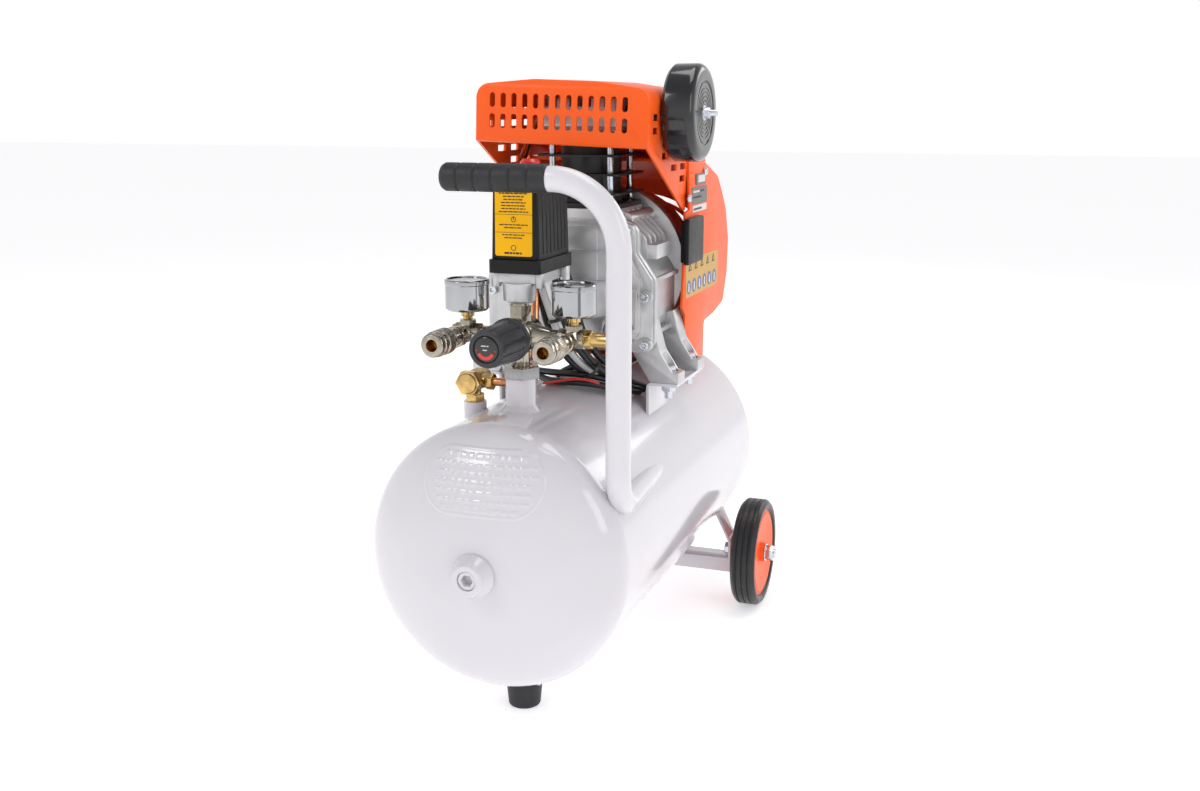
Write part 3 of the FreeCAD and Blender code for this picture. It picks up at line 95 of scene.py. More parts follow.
def make_world():
    """A plain white studio, bright at the horizon and dimmer overhead."""
    world = bpy.data.worlds.new("studio")
    bpy.context.scene.world = world
    world.use_nodes = True
    tree = world.node_tree
    back = tree.nodes["Background"]
    where = tree.nodes.new("ShaderNodeTexCoord")
    split = tree.nodes.new("ShaderNodeSeparateXYZ")
    tree.links.new(where.outputs["Generated"], split.inputs[0])
    height = spread(tree, split.outputs["Z"], 0.10, 0.75, 0, 1)
    tree.links.new(mix_colors(tree, height, (1.0, 1.0, 1.0), (0.42, 0.42, 0.44)), back.inputs["Color"])
    back.inputs["Strength"].default_value = 1.0


def make_floor():
    half = 14.0
    mesh = bpy.data.meshes.new("floor")
    corners = [(-half, -half, 0), (half, -half, 0), (half, half, 0), (-half, half, 0)]
    mesh.from_pydata(corners, [], [(0, 1, 2, 3)])
    floor = bpy.data.objects.new("floor", mesh)
    bpy.context.collection.objects.link(floor)
    white, _, shader = new_material("floor_white")
    shader.inputs["Base Color"].default_value = (0.90, 0.90, 0.90, 1)
    shader.inputs["Roughness"].default_value = 0.8
    shader.inputs["Specular IOR Level"].default_value = 0.1
    shader.inputs["Emission Color"].default_value = (1, 1, 1, 1)
    shader.inputs["Emission Strength"].default_value = 0.45
    floor.data.materials.append(white)


# ---------------------------------------------------------------- materials
def new_material(name):
    material = bpy.data.materials.new(name)
    material.use_nodes = True
    return material, material.node_tree, material.node_tree.nodes["Principled BSDF"]


def noise(tree, scale, detail=4.0, rough=0.55):
    """Noise in object coordinates; scale is in cycles per metre."""
    where = tree.nodes.new("ShaderNodeTexCoord")
    node = tree.nodes.new("ShaderNodeTexNoise")
    node.inputs["Scale"].default_value = scale
    node.inputs["Detail"].default_value = detail
    node.inputs["Roughness"].default_value = rough
    tree.links.new(where.outputs["Object"], node.inputs["Vector"])
    return node.outputs["Fac"]


def spread(tree, value, low, high, to_low, to_high):
    node = tree.nodes.new("ShaderNodeMapRange")
    for key, number in zip(("From Min", "From Max", "To Min", "To Max"), (low, high, to_low, to_high)):
        node.inputs[key].default_value = number
    tree.links.new(value, node.inputs["Value"])
    return node.outputs["Result"]


def mix_colors(tree, value, first, second):
    node = tree.nodes.new("ShaderNodeMix")
    node.data_type = "RGBA"
    tree.links.new(value, node.inputs[0])
    node.inputs[6].default_value = (*first, 1)
    node.inputs[7].default_value = (*second, 1)
    return node.outputs[2]


def bump(tree, shader, value, distance, strength=1.0):
    node = tree.nodes.new("ShaderNodeBump")
    node.inputs["Strength"].default_value = strength
    node.inputs["Distance"].default_value = distance
    tree.links.new(value, node.inputs["Height"])
    tree.links.new(node.outputs["Normal"], shader.inputs["Normal"])


def paint(name, color, rough, metal=0.0, coat=0.0, shade=0.0, shade_scale=25.0, rough_swing=0.0,
          grain=0.0, grain_scale=900.0, coat_rough=0.06, specular=0.5):
    """A surface whose colour, gloss and fine relief vary; shade is the depth of the colour variation."""
    material, tree, shader = new_material(name)
    shader.inputs["Metallic"].default_value = metal
    shader.inputs["Roughness"].default_value = rough
    shader.inputs["Coat Weight"].default_value = coat
    shader.inputs["Coat Roughness"].default_value = coat_rough
    shader.inputs["Specular IOR Level"].default_value = specular
    shader.inputs["Base Color"].default_value = (*color, 1)
    if shade:
        field = spread(tree, noise(tree, shade_scale), 0.3, 0.7, 0, 1)
        dark = [c * (1 - shade) for c in color]
        tree.links.new(mix_colors(tree, field, dark, color), shader.inputs["Base Color"])
    if rough_swing:
        field = noise(tree, shade_scale * 3.1)
        tree.links.new(spread(tree, field, 0.3, 0.7, rough - rough_swing, rough + rough_swing),
                       shader.inputs["Roughness"])
    if grain:
        bump(tree, shader, noise(tree, grain_scale, 3.0), grain)
    return material


def brass_material(name, bright, dull):
    """Brass or copper with patches of tarnish."""
    material, tree, shader = new_material(name)
    shader.inputs["Metallic"].default_value = 1.0
    field = spread(tree, noise(tree, 70.0, 6.0), 0.42, 0.68, 0, 1)
    tree.links.new(mix_colors(tree, field, bright, dull), shader.inputs["Base Color"])
    tree.links.new(spread(tree, field, 0, 1, 0.16, 0.38), shader.inputs["Roughness"])
    bump(tree, shader, noise(tree, 700.0, 3.0), 0.00006)
    return material


def cast_material(name, color):
    """Raw die-cast aluminium: bright skin, cloudy flow marks and a pebbled surface."""
    material, tree, shader = new_material(name)
    shader.inputs["Metallic"].default_value = 0.75
    cloud = spread(tree, noise(tree, 40.0, 5.0), 0.3, 0.7, 0, 1)
    dark = [c * 0.80 for c in color]
    tree.links.new(mix_colors(tree, cloud, dark, color), shader.inputs["Base Color"])
    tree.links.new(spread(tree, cloud, 0, 1, 0.42, 0.30), shader.inputs["Roughness"])
    bump(tree, shader, noise(tree, 1100.0, 2.0), 0.00012)
    return material


def foam_material(name):
    material, tree, shader = new_material(name)
    cells = tree.nodes.new("ShaderNodeTexVoronoi")
    cells.inputs["Scale"].default_value = 500.0
    where = tree.nodes.new("ShaderNodeTexCoord")
    tree.links.new(where.outputs["Object"], cells.inputs["Vector"])
    tree.links.new(mix_colors(tree, cells.outputs["Distance"], (0.08, 0.07, 0.05), (0.30, 0.27, 0.20)),
                   shader.inputs["Base Color"])
    shader.inputs["Roughness"].default_value = 0.95
    bump(tree, shader, cells.outputs["Distance"], 0.0008)
    return material


def lens_material(name):
    material, _, shader = new_material(name)
    shader.inputs["Base Color"].default_value = (1, 1, 1, 1)
    shader.inputs["Roughness"].default_value = 0.02
    shader.inputs["Transmission Weight"].default_value = 1.0
    shader.inputs["IOR"].default_value = 1.2
    return material


ORANGE = (1.0, 0.120, 0.010)
MATERIALS = {
    "tank_paint": lambda n: paint(n, (0.69, 0.665, 0.705), 0.15, coat=0.5, shade=0.03, shade_scale=9.0,
                                  rough_swing=0.03, grain=0.00005, grain_scale=260.0),
    "handle_paint": lambda n: paint(n, (0.72, 0.70, 0.735), 0.24, coat=0.35, shade=0.03, grain=0.00004,
                                    grain_scale=420.0),
    "cast_aluminium": lambda n: cast_material(n, (0.66, 0.66, 0.67)),
    "fin_black": lambda n: paint(n, (0.012, 0.012, 0.013), 0.42, shade=0.4, shade_scale=60.0, grain=0.00008),
    "zinc_steel": lambda n: paint(n, (0.66, 0.70, 0.76), 0.22, metal=1.0, shade=0.12, shade_scale=120.0,
                                  rough_swing=0.08, grain=0.00003),
    "dark_steel": lambda n: paint(n, (0.34, 0.34, 0.35), 0.3, metal=1.0, shade=0.15, rough_swing=0.1),
    "nickel": lambda n: paint(n, (0.50, 0.455, 0.375), 0.13, metal=1.0, shade=0.35, shade_scale=90.0,
                              rough_swing=0.05, grain=0.00002),
    "chrome": lambda n: paint(n, (0.46, 0.47, 0.48), 0.06, metal=1.0, shade=0.12, shade_scale=40.0),
    "brass": lambda n: brass_material(n, (0.80, 0.56, 0.22), (0.42, 0.26, 0.09)),
    "copper": lambda n: brass_material(n, (0.82, 0.36, 0.18), (0.45, 0.18, 0.09)),
    "winding": lambda n: brass_material(n, (0.55, 0.20, 0.09), (0.22, 0.10, 0.07)),
    "orange_plastic": lambda n: paint(n, ORANGE, 0.36, shade=0.05, shade_scale=14.0, rough_swing=0.03,
                                      grain=0.00007, grain_scale=1400.0, specular=0.28),
    "black_plastic": lambda n: paint(n, (0.008, 0.008, 0.009), 0.42, shade=0.25, rough_swing=0.05,
                                     grain=0.00012, grain_scale=1500.0, specular=0.25),
    "filter_black": lambda n: paint(n, (0.008, 0.008, 0.010), 0.16, coat=0.4, rough_swing=0.03,
                                    grain=0.00003, grain_scale=300.0),
    "red_plastic": lambda n: paint(n, (0.62, 0.020, 0.012), 0.22, coat=0.3, shade=0.08, rough_swing=0.03),
    "rubber": lambda n: paint(n, (0.016, 0.016, 0.018), 0.52, shade=0.3, shade_scale=50.0, rough_swing=0.06,
                              grain=0.00010, grain_scale=1200.0),
    "tyre": lambda n: paint(n, (0.012, 0.012, 0.013), 0.34, shade=0.3, shade_scale=45.0, rough_swing=0.08,
                            grain=0.00010, grain_scale=700.0),
    "dial_white": lambda n: paint(n, (0.86, 0.86, 0.84), 0.5, shade=0.03),
    "lens": lens_material,
    "filter_foam": foam_material,
    "cable": lambda n: paint(n, (0.010, 0.010, 0.011), 0.35, shade=0.2, grain=0.00006),
}
made = {}


def material(slot):
    if slot not in made:
        made[slot] = MATERIALS[slot](slot)
    return made[slot]


def finish_nodes():
    """Gives every CAD node the material of its slot."""
    for part in frame["record"]["subparts"]:
        node = NODES[part["node"]]
        node.data.materials.clear()
        node.data.materials.append(material(part["material_slot"]))
        for polygon in node.data.polygons:
            polygon.material_index = 0


# ---------------------------------------------------------------- mesh tools
def shade_by_angle(obj, degrees):
    mesh = obj.data
    for polygon in mesh.polygons:
        polygon.use_smooth = True
    mesh.set_sharp_from_angle(angle=math.radians(degrees))


def add_piece(name, mesh, slot, body=ROOT, own=None):
    """Links a mesh as a piece that rides on a body; own is its material where it isn't the slot's."""
    piece = bpy.data.objects.new(name, mesh)
    bpy.context.collection.objects.link(piece)
    if own or not mesh.materials:
        mesh.materials.append(own or material(slot))
    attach(piece, body)
    return piece


def body_of(node):
    for name, members in frame["record"]["behaviour"]["bodies"].items():
        if node in members:
            return name
    raise KeyError(node)


def slot_of(node):
    for part in frame["record"]["subparts"]:
        if part["node"] == node:
            return part["material_slot"]
    raise KeyError(node)


def softened(node, width, segments=2, angle=35.0):
    """A copy of a CAD node with its edges rounded, which stands for the node.

    The width is in metres; the overlap clamp cuts it to the widest bevel that the mesh's edges allow."""
    mesh = NODES[node].data.copy()
    mesh.name = node + "_soft"
    work = bmesh.new()
    work.from_mesh(mesh)
    bmesh.ops.remove_doubles(work, verts=work.verts, dist=1e-6)
    bmesh.ops.dissolve_limit(work, angle_limit=math.radians(1.0), verts=work.verts, edges=work.edges)
    sharp = [e for e in work.edges if len(e.link_faces) == 2 and e.calc_face_angle(0) > math.radians(angle)]
    bmesh.ops.bevel(work, geom=sharp, offset=width, offset_type="OFFSET", segments=segments, profile=0.5,
                    affect="EDGES", clamp_overlap=True)
    work.to_mesh(mesh)
    work.free()
    piece = add_piece(node + "_soft", mesh, slot_of(node), body_of(node))
    shade_by_angle(piece, 40)
    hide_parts(node)
    return piece


def rounded(points, steps=6):
    """The points of a closed outline of (u, v, radius) corners, with each corner rounded."""
    out = []
    count = len(points)
    for k, (u, v, r) in enumerate(points):
        here = Vector((u, v))
        back = Vector(points[k - 1][:2]) - here
        ahead = Vector(points[(k + 1) % count][:2]) - here
        if r <= 0:
            out.append((u, v))
            continue
        half = back.angle(ahead) / 2
        reach = min(r / math.tan(half), back.length * 0.49, ahead.length * 0.49)
        r = reach * math.tan(half)
        start = here + back.normalized() * reach
        end = here + ahead.normalized() * reach
        centre = here + (back.normalized() + ahead.normalized()).normalized() * (r / math.sin(half))
        sweep = (end - centre).angle_signed(start - centre)
        for n in range(steps + 1):
            turn = Matrix.Rotation(sweep * n / steps, 2)
            out.append(tuple(centre + turn @ (start - centre)))
    return out


def lathe(name, profile, at, along, slot, body=ROOT, steps=144, relief=None, crease=35, own=None):
    """Turns a closed outline of (radius, distance, corner radius), in mm, about the line through at.

    relief(angle, radius, distance) gives a change of radius in mm, for knurls and flutes."""
    outline = rounded(profile)
    axis = Vector(along).normalized()
    side = axis.orthogonal().normalized()
    other = axis.cross(side)
    verts = []
    for n in range(steps):
        angle = 2 * math.pi * n / steps
        out = side * math.cos(angle) + other * math.sin(angle)
        for r, t in outline:
            change = relief(angle, r, t) if relief else 0.0
            verts.append((Vector(at) + axis * t + out * max(r + change, 0.0)) * MM)
    count = len(outline)
    faces = []
    for n in range(steps):
        for k in range(count):
            a, b = n * count + k, n * count + (k + 1) % count
            c, d = ((n + 1) % steps) * count + (k + 1) % count, ((n + 1) % steps) * count + k
            faces.append((a, d, c, b))
    mesh = bpy.data.meshes.new(name)
    mesh.from_pydata(verts, [], faces)
    work = bmesh.new()
    work.from_mesh(mesh)
    bmesh.ops.remove_doubles(work, verts=work.verts, dist=1e-6)
    bmesh.ops.recalc_face_normals(work, faces=work.faces)
    work.to_mesh(mesh)
    work.free()
    piece = add_piece(name, mesh, slot, body, own)
    shade_by_angle(piece, crease)
    return piece


def slab(name, shapes, thickness, place, slot, body=ROOT):
    """Thin flat prints and plates: shapes is a list of (material, lift, outlines), in mm.

    Each outline is a list of (u, v) points; place puts (u, v, w) mm in the object's frame."""
    mesh = bpy.data.meshes.new(name)
    verts, faces, tints = [], [], []
    for index, (own, lift, outlines) in enumerate(shapes):
        mesh.materials.append(own)
        for points in outlines:
            first = len(verts)
            count = len(points)
            verts += [place(u, v, lift) * MM for u, v in points]
            verts += [place(u, v, lift + thickness) * MM for u, v in points]
            faces.append([first + k for k in range(count)][::-1])
            faces.append([first + count + k for k in range(count)])
            for k in range(count):
                after = (k + 1) % count
                faces.append([first + k, first + after, first + count + after, first + count + k])
            tints += [index] * (count + 2)
    mesh.from_pydata(verts, [], faces)
    for polygon, index in zip(mesh.polygons, tints):
        polygon.material_index = index
    work = bmesh.new()
    work.from_mesh(mesh)
    bmesh.ops.recalc_face_normals(work, faces=work.faces)
    work.to_mesh(mesh)
    work.free()
    return add_piece(name, mesh, slot, body)


def bar(u, v, wide, high):
    return [(u, v), (u + wide, v), (u + wide, v + high), (u, v + high)]


def panel(u0, v0, u1, v1, r):
    return rounded([(u0, v0, r), (u1, v0, r), (u1, v1, r), (u0, v1, r)], 5)


def disc(u, v, r, count=28):
    return [(u + r * math.cos(2 * math.pi * k / count), v + r * math.sin(2 * math.pi * k / count))
            for k in range(count)]


def arc_band(u, v, r_in, r_out, start, end, count=30):
    """A ring sector between two angles, in degrees, as a strip of quads."""
    cells = []
    for k in range(count):
        a, b = (math.radians(start + (end - start) * (k + n) / count) for n in (0, 1))
        cells.append([(u + r * math.cos(t), v + r * math.sin(t))
                      for r, t in ((r_in, a), (r_out, a), (r_out, b), (r_in, b))])
    return cells


def print_rows(u, v, wide, rows, pitch, high, dice, centred=True):
    """Rows of short dark dashes that stand for small print."""
    marks = []
    for row in range(rows):
        length = wide * dice.uniform(0.62, 1.0)
        at = u + (wide - length) / 2 if centred else u
        end = at + length
        while at < end - 1.0:
            run = min(dice.uniform(1.6, 4.6), end - at)
            marks.append(bar(at, v - row * pitch, run, high))
            at += run + 0.7
    return marks


# ---------------------------------------------------------------- rounded CAD parts
# Widths asked for, in metres. Each is far more than its mesh allows, so the clamp in softened() sets the
# width that results, and changing a value here changes nothing until it is below that limit.
SOFT_EDGES = {
    "hood": 1.1, "fan_shroud": 1.6, "crankcase": 1.3, "crankcase_cover": 1.1, "switch_cover": 0.8,
    "switch_base": 0.8, "switch_mount": 0.9, "regulator_block": 0.6, "outlet_tees": 0.5,
    "coupler_bodies": 0.35, "check_valve": 0.6, "wheel_brackets": 0.7, "pump_rails": 0.8,
    "capacitor_box": 1.0, "cylinder": 0.35,
    "cylinder_head": 0.8, "mount_bolts": 0.35, "axle_hardware": 0.35, "front_foot_bracket": 0.7,
    "hub_left": 0.7, "hub_right": 0.7, "drain_valve": 0.4, "cover_screws": 0.3, "head_studs": 0.3,
    "valve_plate": 0.4, "filter_stud": 0.3, "safety_valve": 0.35, "motor_end_shield": 0.6,
    "front_foot": 0.8, "inspection_plugs": 0.4, "drain_screw": 0.3,
}


RISER_NUT_HIGH = 0.0104        # the manifold block's lowest part, a nut of another metal
COUPLER_BORE_R = 0.0062        # the mouth of a coupler's body, lined with brass


def soften_nodes():
    """Rounds the nodes of SOFT_EDGES, and gives the riser nut and the couplers' bores their own metals."""
    soft = {node: softened(node, width) for node, width in SOFT_EDGES.items()}
    block = soft["regulator_block"]
    nut_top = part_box("regulator_block")[0][2] + RISER_NUT_HIGH
    block.data.materials.append(material("dark_steel"))
    for polygon in block.data.polygons:
        polygon.material_index = int(polygon.center.z < nut_top)
    bodies = soft["coupler_bodies"]
    bodies.data.materials.append(material("brass"))
    for polygon in bodies.data.polygons:
        for side in ("left", "right"):
            x, _, z = (c * MM for c in middle_of("coupler_sleeve_" + side))
            near = math.hypot(polygon.center.x - x, polygon.center.z - z) < COUPLER_BORE_R
            bore = near and abs(polygon.normal.y) < 0.5
            polygon.material_index = max(polygon.material_index, int(bore))


# ---------------------------------------------------------------- measures read from the frame, in mm
def span(node):
    low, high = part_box(node)
    return [c / MM for c in low], [c / MM for c in high]


def middle_of(node):
    low, high = span(node)
    return [(a + b) / 2 for a, b in zip(low, high)]


# ---------------------------------------------------------------- tyres
def make_tyre(side, node, body):
    low, high = span(node)
    x, y, z = middle_of(node)
    half = (high[0] - low[0]) / 2
    face = (high[2] - low[2]) / 2
    seat = face - 12.0
    groove, depth = 0.9, 1.3
    profile = [(seat, -half + 3, 0.5), (seat + 2.5, -half + 0.6, 1.0), (face - 4.5, -half, 2.5),
               (face, -half + 4.2, 3.0)]
    for offset in (-6.6, 0.0, 6.6):
        profile += [(face, offset - groove, 0.4), (face - depth, offset - groove * 0.6, 0.3),
                    (face - depth, offset + groove * 0.6, 0.3), (face, offset + groove, 0.4)]
    profile += [(face, half - 4.2, 3.0), (face - 4.5, half, 2.5), (seat + 2.5, half - 0.6, 1.0),
                (seat, half - 3, 0.5)]
    tyre = lathe("tyre_rubber_" + side, profile, (x, y, z), (1, 0, 0), "tyre", body, steps=180)
    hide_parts(node)


# ---------------------------------------------------------------- air filter
def make_filter():
    low, high = span("filter_housing")
    _, y, z = middle_of("filter_housing")
    r = (high[2] - low[2]) / 2
    deep = 32.0
    back = high[0] - deep
    profile = [(4.2, 0, 0), (r - 3, 0, 1.5), (r, 3.5, 3.0), (r, deep, 13.5), (31.5, deep, 1.0),
               (30.8, deep - 1.8, 0.5), (29.6, deep - 1.8, 0.5), (28.8, deep - 0.5, 0.6)]
    for ring in (25.0, 21.0, 17.0, 13.0):
        profile += [(ring, deep - 0.5, 0.3), (ring - 0.5, deep - 1.5, 0.2), (ring - 1.2, deep - 1.5, 0.2),
                    (ring - 1.7, deep - 0.5, 0.3)]
    profile += [(8.0, deep - 0.5, 0.5), (7.6, deep - 1.7, 0.3), (4.2, deep - 1.7, 0)]
    drum = lathe("filter_drum", profile, (back, y, z), (1, 0, 0), "filter_black", steps=180)
    long = back - low[0]
    neck = [(7.2, 0, 0), (11, 0, 0.5), (11, long, 0), (7.2, long, 0)]
    lathe("filter_neck", neck, (low[0], y, z), (1, 0, 0), "filter_black", steps=64)
    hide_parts("filter_housing")


# ---------------------------------------------------------------- pressure gauges
def gauge_places():
    """The middles of the two gauges, seen from above, and the heights of case and dial."""
    low, high = span("gauge_cases")
    x = (high[0] - low[0]) / 2 - (high[1] - low[1]) / 2
    return x, middle_of("gauge_cases")[1], low[2], high[2]


SCALE_R = 14.6
SCALE_STEPS = 50
TICKS_PER_MAJOR = 5


def gauge_ticks():
    """Short and long strokes over 270 degrees, inwards from the scale's radius."""
    ticks = []
    for k in range(SCALE_STEPS + 1):
        angle = math.radians(225 - 270 * k / SCALE_STEPS)
        major = k % TICKS_PER_MAJOR == 0
        deep = 2.6 if major else 1.4
        wide = 0.35 if major else 0.18
        c, s = math.cos(angle), math.sin(angle)
        corners = ((SCALE_R, -wide), (SCALE_R, wide), (SCALE_R - deep, wide), (SCALE_R - deep, -wide))
        ticks.append([(r * c - w * s, r * s + w * c) for r, w in corners])
    return ticks


def make_gauges():
    x_out, y, low, top = gauge_places()
    stem = 9.0
    tall = top - low - stem
    dial_top = span("gauge_dials")[0][2] + 0.8
    black = paint("print_black", (0.015, 0.015, 0.018), 0.5, shade=0.1)
    red = paint("print_red", (0.65, 0.02, 0.015), 0.45, shade=0.1)
    for side, name in ((-1, "left"), (1, "right")):
        x = side * x_out
        profile = [(3.0, 0, 0), (18.6, 0, 1.6), (20.4, 2.0, 1.6), (20.4, tall - 5.2, 0.4),
                   (20.9, tall - 4.6, 0.4), (20.9, tall - 1.2, 0.6), (20.0, tall, 0.7), (18.3, tall, 0.6),
                   (17.9, tall - 2.2, 0.3), (17.3, tall - 2.2, 0.3), (17.3, tall - 12, 0),
                   (3.0, tall - 12, 0)]
        case = lathe("gauge_case_" + name, profile, (x, y, low + stem), (0, 0, 1), "chrome", steps=160)
        neck = [(1.5, 0, 0), (4.4, 0, 0.4), (4.4, 3.0, 0.3), (6.4, 3.4, 0.4), (6.4, stem - 1.2, 0.8),
                (5.4, stem, 0.3), (1.5, stem, 0)]
        lathe("gauge_stem_" + name, neck, (x, y, low), (0, 0, 1), "brass", steps=6 * 16,
              relief=lambda a, r, t: -(r - 5.5) * (1 - abs(math.cos(3 * a)) ** 0.5) if r > 5.5 else 0.0)
        if side < 0:
            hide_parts("gauge_cases")
        outer_arc = arc_band(0, 0, SCALE_R, SCALE_R + 0.3, -45, 225, 50)
        danger = arc_band(0, 0, 15.2, 17.0, -45, 45, 24)
        inner_arc = arc_band(0, 0, 9.0, 9.5, -45, 225, 40)
        marks = [(black, 0.02, gauge_ticks() + outer_arc + [disc(0, 0, 1.3)]),
                 (red, 0.04, danger + inner_arc)]
        slab("gauge_scale_" + name, marks, 0.05,
             lambda u, v, w, x=x: Vector((x + u, y + v, dial_top + w)), "dial_white")


# ---------------------------------------------------------------- quick couplers
def make_coupler_sleeve(side, node):
    low, high = span(node)
    x, _, z = middle_of(node)
    length = high[1] - low[1]
    outer = (high[2] - low[2]) / 2
    bore = 8.25

    def knurl(angle, r, t):
        return 0.22 * math.cos(48 * angle) if r > outer - 0.3 and 9.5 < t < length - 4 else 0.0

    profile = [(bore, 0, 0.2), (outer - 1.2, 0, 0.4), (outer - 0.3, 1.0, 0.5), (outer - 0.3, 4.6, 0.5),
               (outer - 1.3, 5.6, 0.4), (outer - 1.3, 8.0, 0.4), (outer - 0.1, 9.0, 0.3),
               (outer - 0.1, length - 4.4, 0.3), (outer - 1.2, length - 3.6, 0.3),
               (outer - 1.2, length - 2.8, 0.3), (outer - 0.3, length - 2.2, 0.4),
               (outer - 0.9, length, 0.4), (bore, length, 0.2)]
    sleeve = lathe("coupler_sleeve_%s_knurled" % side, profile, (x, low[1], z), (0, 1, 0), "nickel", node,
                   steps=288, relief=knurl, crease=28)
    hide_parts(node)


# ---------------------------------------------------------------- regulator knob
def make_regulator_knob():
    low, high = span("regulator_knob")
    x, _, z = middle_of("regulator_knob")
    length = high[1] - low[1]
    flange = (high[2] - low[2]) / 2
    front = 17.4
    bore = 5.06
    flute_count, flute_deep = 12, 1.1

    def flutes(angle, r, t):
        if t < 9 or t > length - 3.5 or r < front - 4:
            return 0.0
        part = (angle * flute_count / (2 * math.pi)) % 1.0
        edge = max(0.0, min(1.0, (0.5 - abs(part - 0.5) - 0.10) / 0.07))
        return -flute_deep * (1 - edge)

    profile = [(bore, 0, 0), (flange - 0.6, 0, 0.6), (flange, 1.2, 0.6), (flange, 4.8, 0.8),
               (flange - 1.4, 6.4, 0.8), (flange - 1.5, 8.6, 0.5)]
    profile += [(flange - 1.5 - (flange - 1.5 - front) * k / 8, 9 + (length - 14) * k / 8, 0)
                for k in range(9)]
    profile += [(front - 0.2, length - 3.6, 0), (front - 1.4, length, 1.6), (12.4, length, 0.8),
                (11.6, length - 1.6, 0.3), (0.0, length - 1.6, 0), (0.0, length - 24, 0),
                (bore, length - 24, 0)]
    grip = paint("knob_slate", (0.030, 0.032, 0.038), 0.42, shade=0.15, rough_swing=0.05, grain=0.00008)
    knob = lathe("regulator_grip", profile, (x, high[1], z), (0, -1, 0), "black_plastic", "regulator_knob",
                 steps=240, relief=flutes, crease=32, own=grip)
    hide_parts("regulator_knob")
    gloss = paint("cap_gloss", (0.006, 0.006, 0.007), 0.08, coat=0.6, shade=0.1)
    red = paint("cap_red", (0.75, 0.045, 0.030), 0.3, shade=0.06)
    pale = paint("cap_pale", (0.55, 0.55, 0.55), 0.3, shade=0.06)
    lathe("regulator_cap", [(0, 0, 0), (11.3, 0, 0), (11.3, 1.4, 0.5), (10.4, 2.0, 0.4), (0, 2.3, 0)],
          (x, low[1] + 2.0, z), (0, -1, 0), "black_plastic", "regulator_knob", steps=96, own=gloss)
    signs = [bar(-9.6, -1.4, 1.8, 0.6), bar(7.8, -1.4, 1.8, 0.6), bar(8.4, -2.0, 0.6, 1.8)]
    rows = print_rows(-4.2, 2.6, 8.4, 2, 3.6, 1.1, random.Random(2))
    dial = arc_band(0, -0.6, 5.6, 8.6, 205, 335, 24)
    slab("regulator_marks", [(red, 0.0, dial + signs), (pale, 0.0, rows)], 0.12,
         lambda u, v, w: Vector((x + u, low[1] - 0.25 - w, z + v)), "black_plastic", "regulator_knob")


# ---------------------------------------------------------------- handle grip
def make_grip():
    low, high = span("handle_grip")
    _, y, z = middle_of("handle_grip")
    length = high[0] - low[0]
    r = (high[2] - low[2]) / 2
    tube_r = 11.05
    rings, groove = 6, 0.95
    profile = [(0, 0, 0), (r - 2.2, 0, 2.0), (r, 3.4, 3.0)]
    for k in range(1, rings):
        at = length * k / rings
        profile += [(r, at - 1.3, 0.8), (r - groove, at - 0.3, 0.3), (r - groove, at + 0.3, 0.3),
                    (r, at + 1.3, 0.8)]
    profile += [(r, length - 1.4, 1.0), (r - 0.6, length, 0.5), (tube_r, length, 0),
                (tube_r, length - 3, 0), (0, length - 3, 0)]
    grip = lathe("grip_rubber", profile, (low[0], y, z), (1, 0, 0), "rubber", steps=120)
    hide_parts("handle_grip")


# ---------------------------------------------------------------- raised plate on the front dome
DOME_DEEP = 56.0               # how far the domes stand out from the shell, in mm


def make_dome_plate():
    """A stadium-shaped raised panel pressed into the front dome, with rows of plain raised marks."""
    low, high = span("tank_dome_front")
    radius = (high[2] - low[2]) / 2
    centre_z = (high[2] + low[2]) / 2
    joint_y = high[1]
    depth = DOME_DEEP
    mid_x, mid_z, half_u, half_v = 2.5, centre_z + 80, 58.0, 29.5
    dice = random.Random(11)
    rows = []
    for k in range(7):
        v = half_v - 8 - 7.3 * k
        reach = half_u - 8 - max(0, abs(v) - 12) * 0.75
        u = -reach + dice.uniform(0, 8)
        while u < reach - 4:
            run = dice.uniform(3.0, 8.0)
            rows.append((u, min(u + run, reach), v, 1.0 if k % 3 else 1.5))
            u += run + dice.uniform(1.6, 2.8)

    def ramp(value, soft):
        t = max(0.0, min(1.0, value / soft))
        return t * t * (3 - 2 * t)

    def height(u, v):
        side = max(abs(u) - (half_u - half_v), 0.0)
        inside = half_v - math.hypot(side, v)
        rise = 0.9 * ramp(inside, 2.4) - 0.35 * ramp(inside - 2.6, 1.6)
        for a, b, row, high_by in rows:
            if abs(v - row) < 3.4 and a - 1 < u < b + 1:
                rise += 0.5 * ramp(min(u - a, b - u) + 0.6, 1.2) * ramp(1.6 * high_by - abs(v - row), 1.0)
        return rise

    step = 0.7
    columns, lines = int(2 * half_u / step) + 3, int(2 * half_v / step) + 3
    verts, faces = [], []
    for j in range(lines):
        for i in range(columns):
            u, v = -half_u - step + i * step, -half_v - step + j * step
            x, z = mid_x + u, mid_z + v - centre_z
            inner = max(0.0, 1 - (x * x + z * z) / radius ** 2)
            y = joint_y - depth * math.sqrt(inner)
            normal = Vector((x / radius ** 2, (y - joint_y) / depth ** 2, z / radius ** 2)).normalized()
            rise = height(u, v)
            verts.append((Vector((x, y, z + centre_z)) + normal * (rise - 0.06)) * MM)
    for j in range(lines - 1):
        for i in range(columns - 1):
            a = j * columns + i
            faces.append((a, a + 1, a + columns + 1, a + columns))
    mesh = bpy.data.meshes.new("dome_plate")
    mesh.from_pydata(verts, [], faces)
    plate = add_piece("dome_plate", mesh, "tank_paint")
    shade_by_angle(plate, 60)


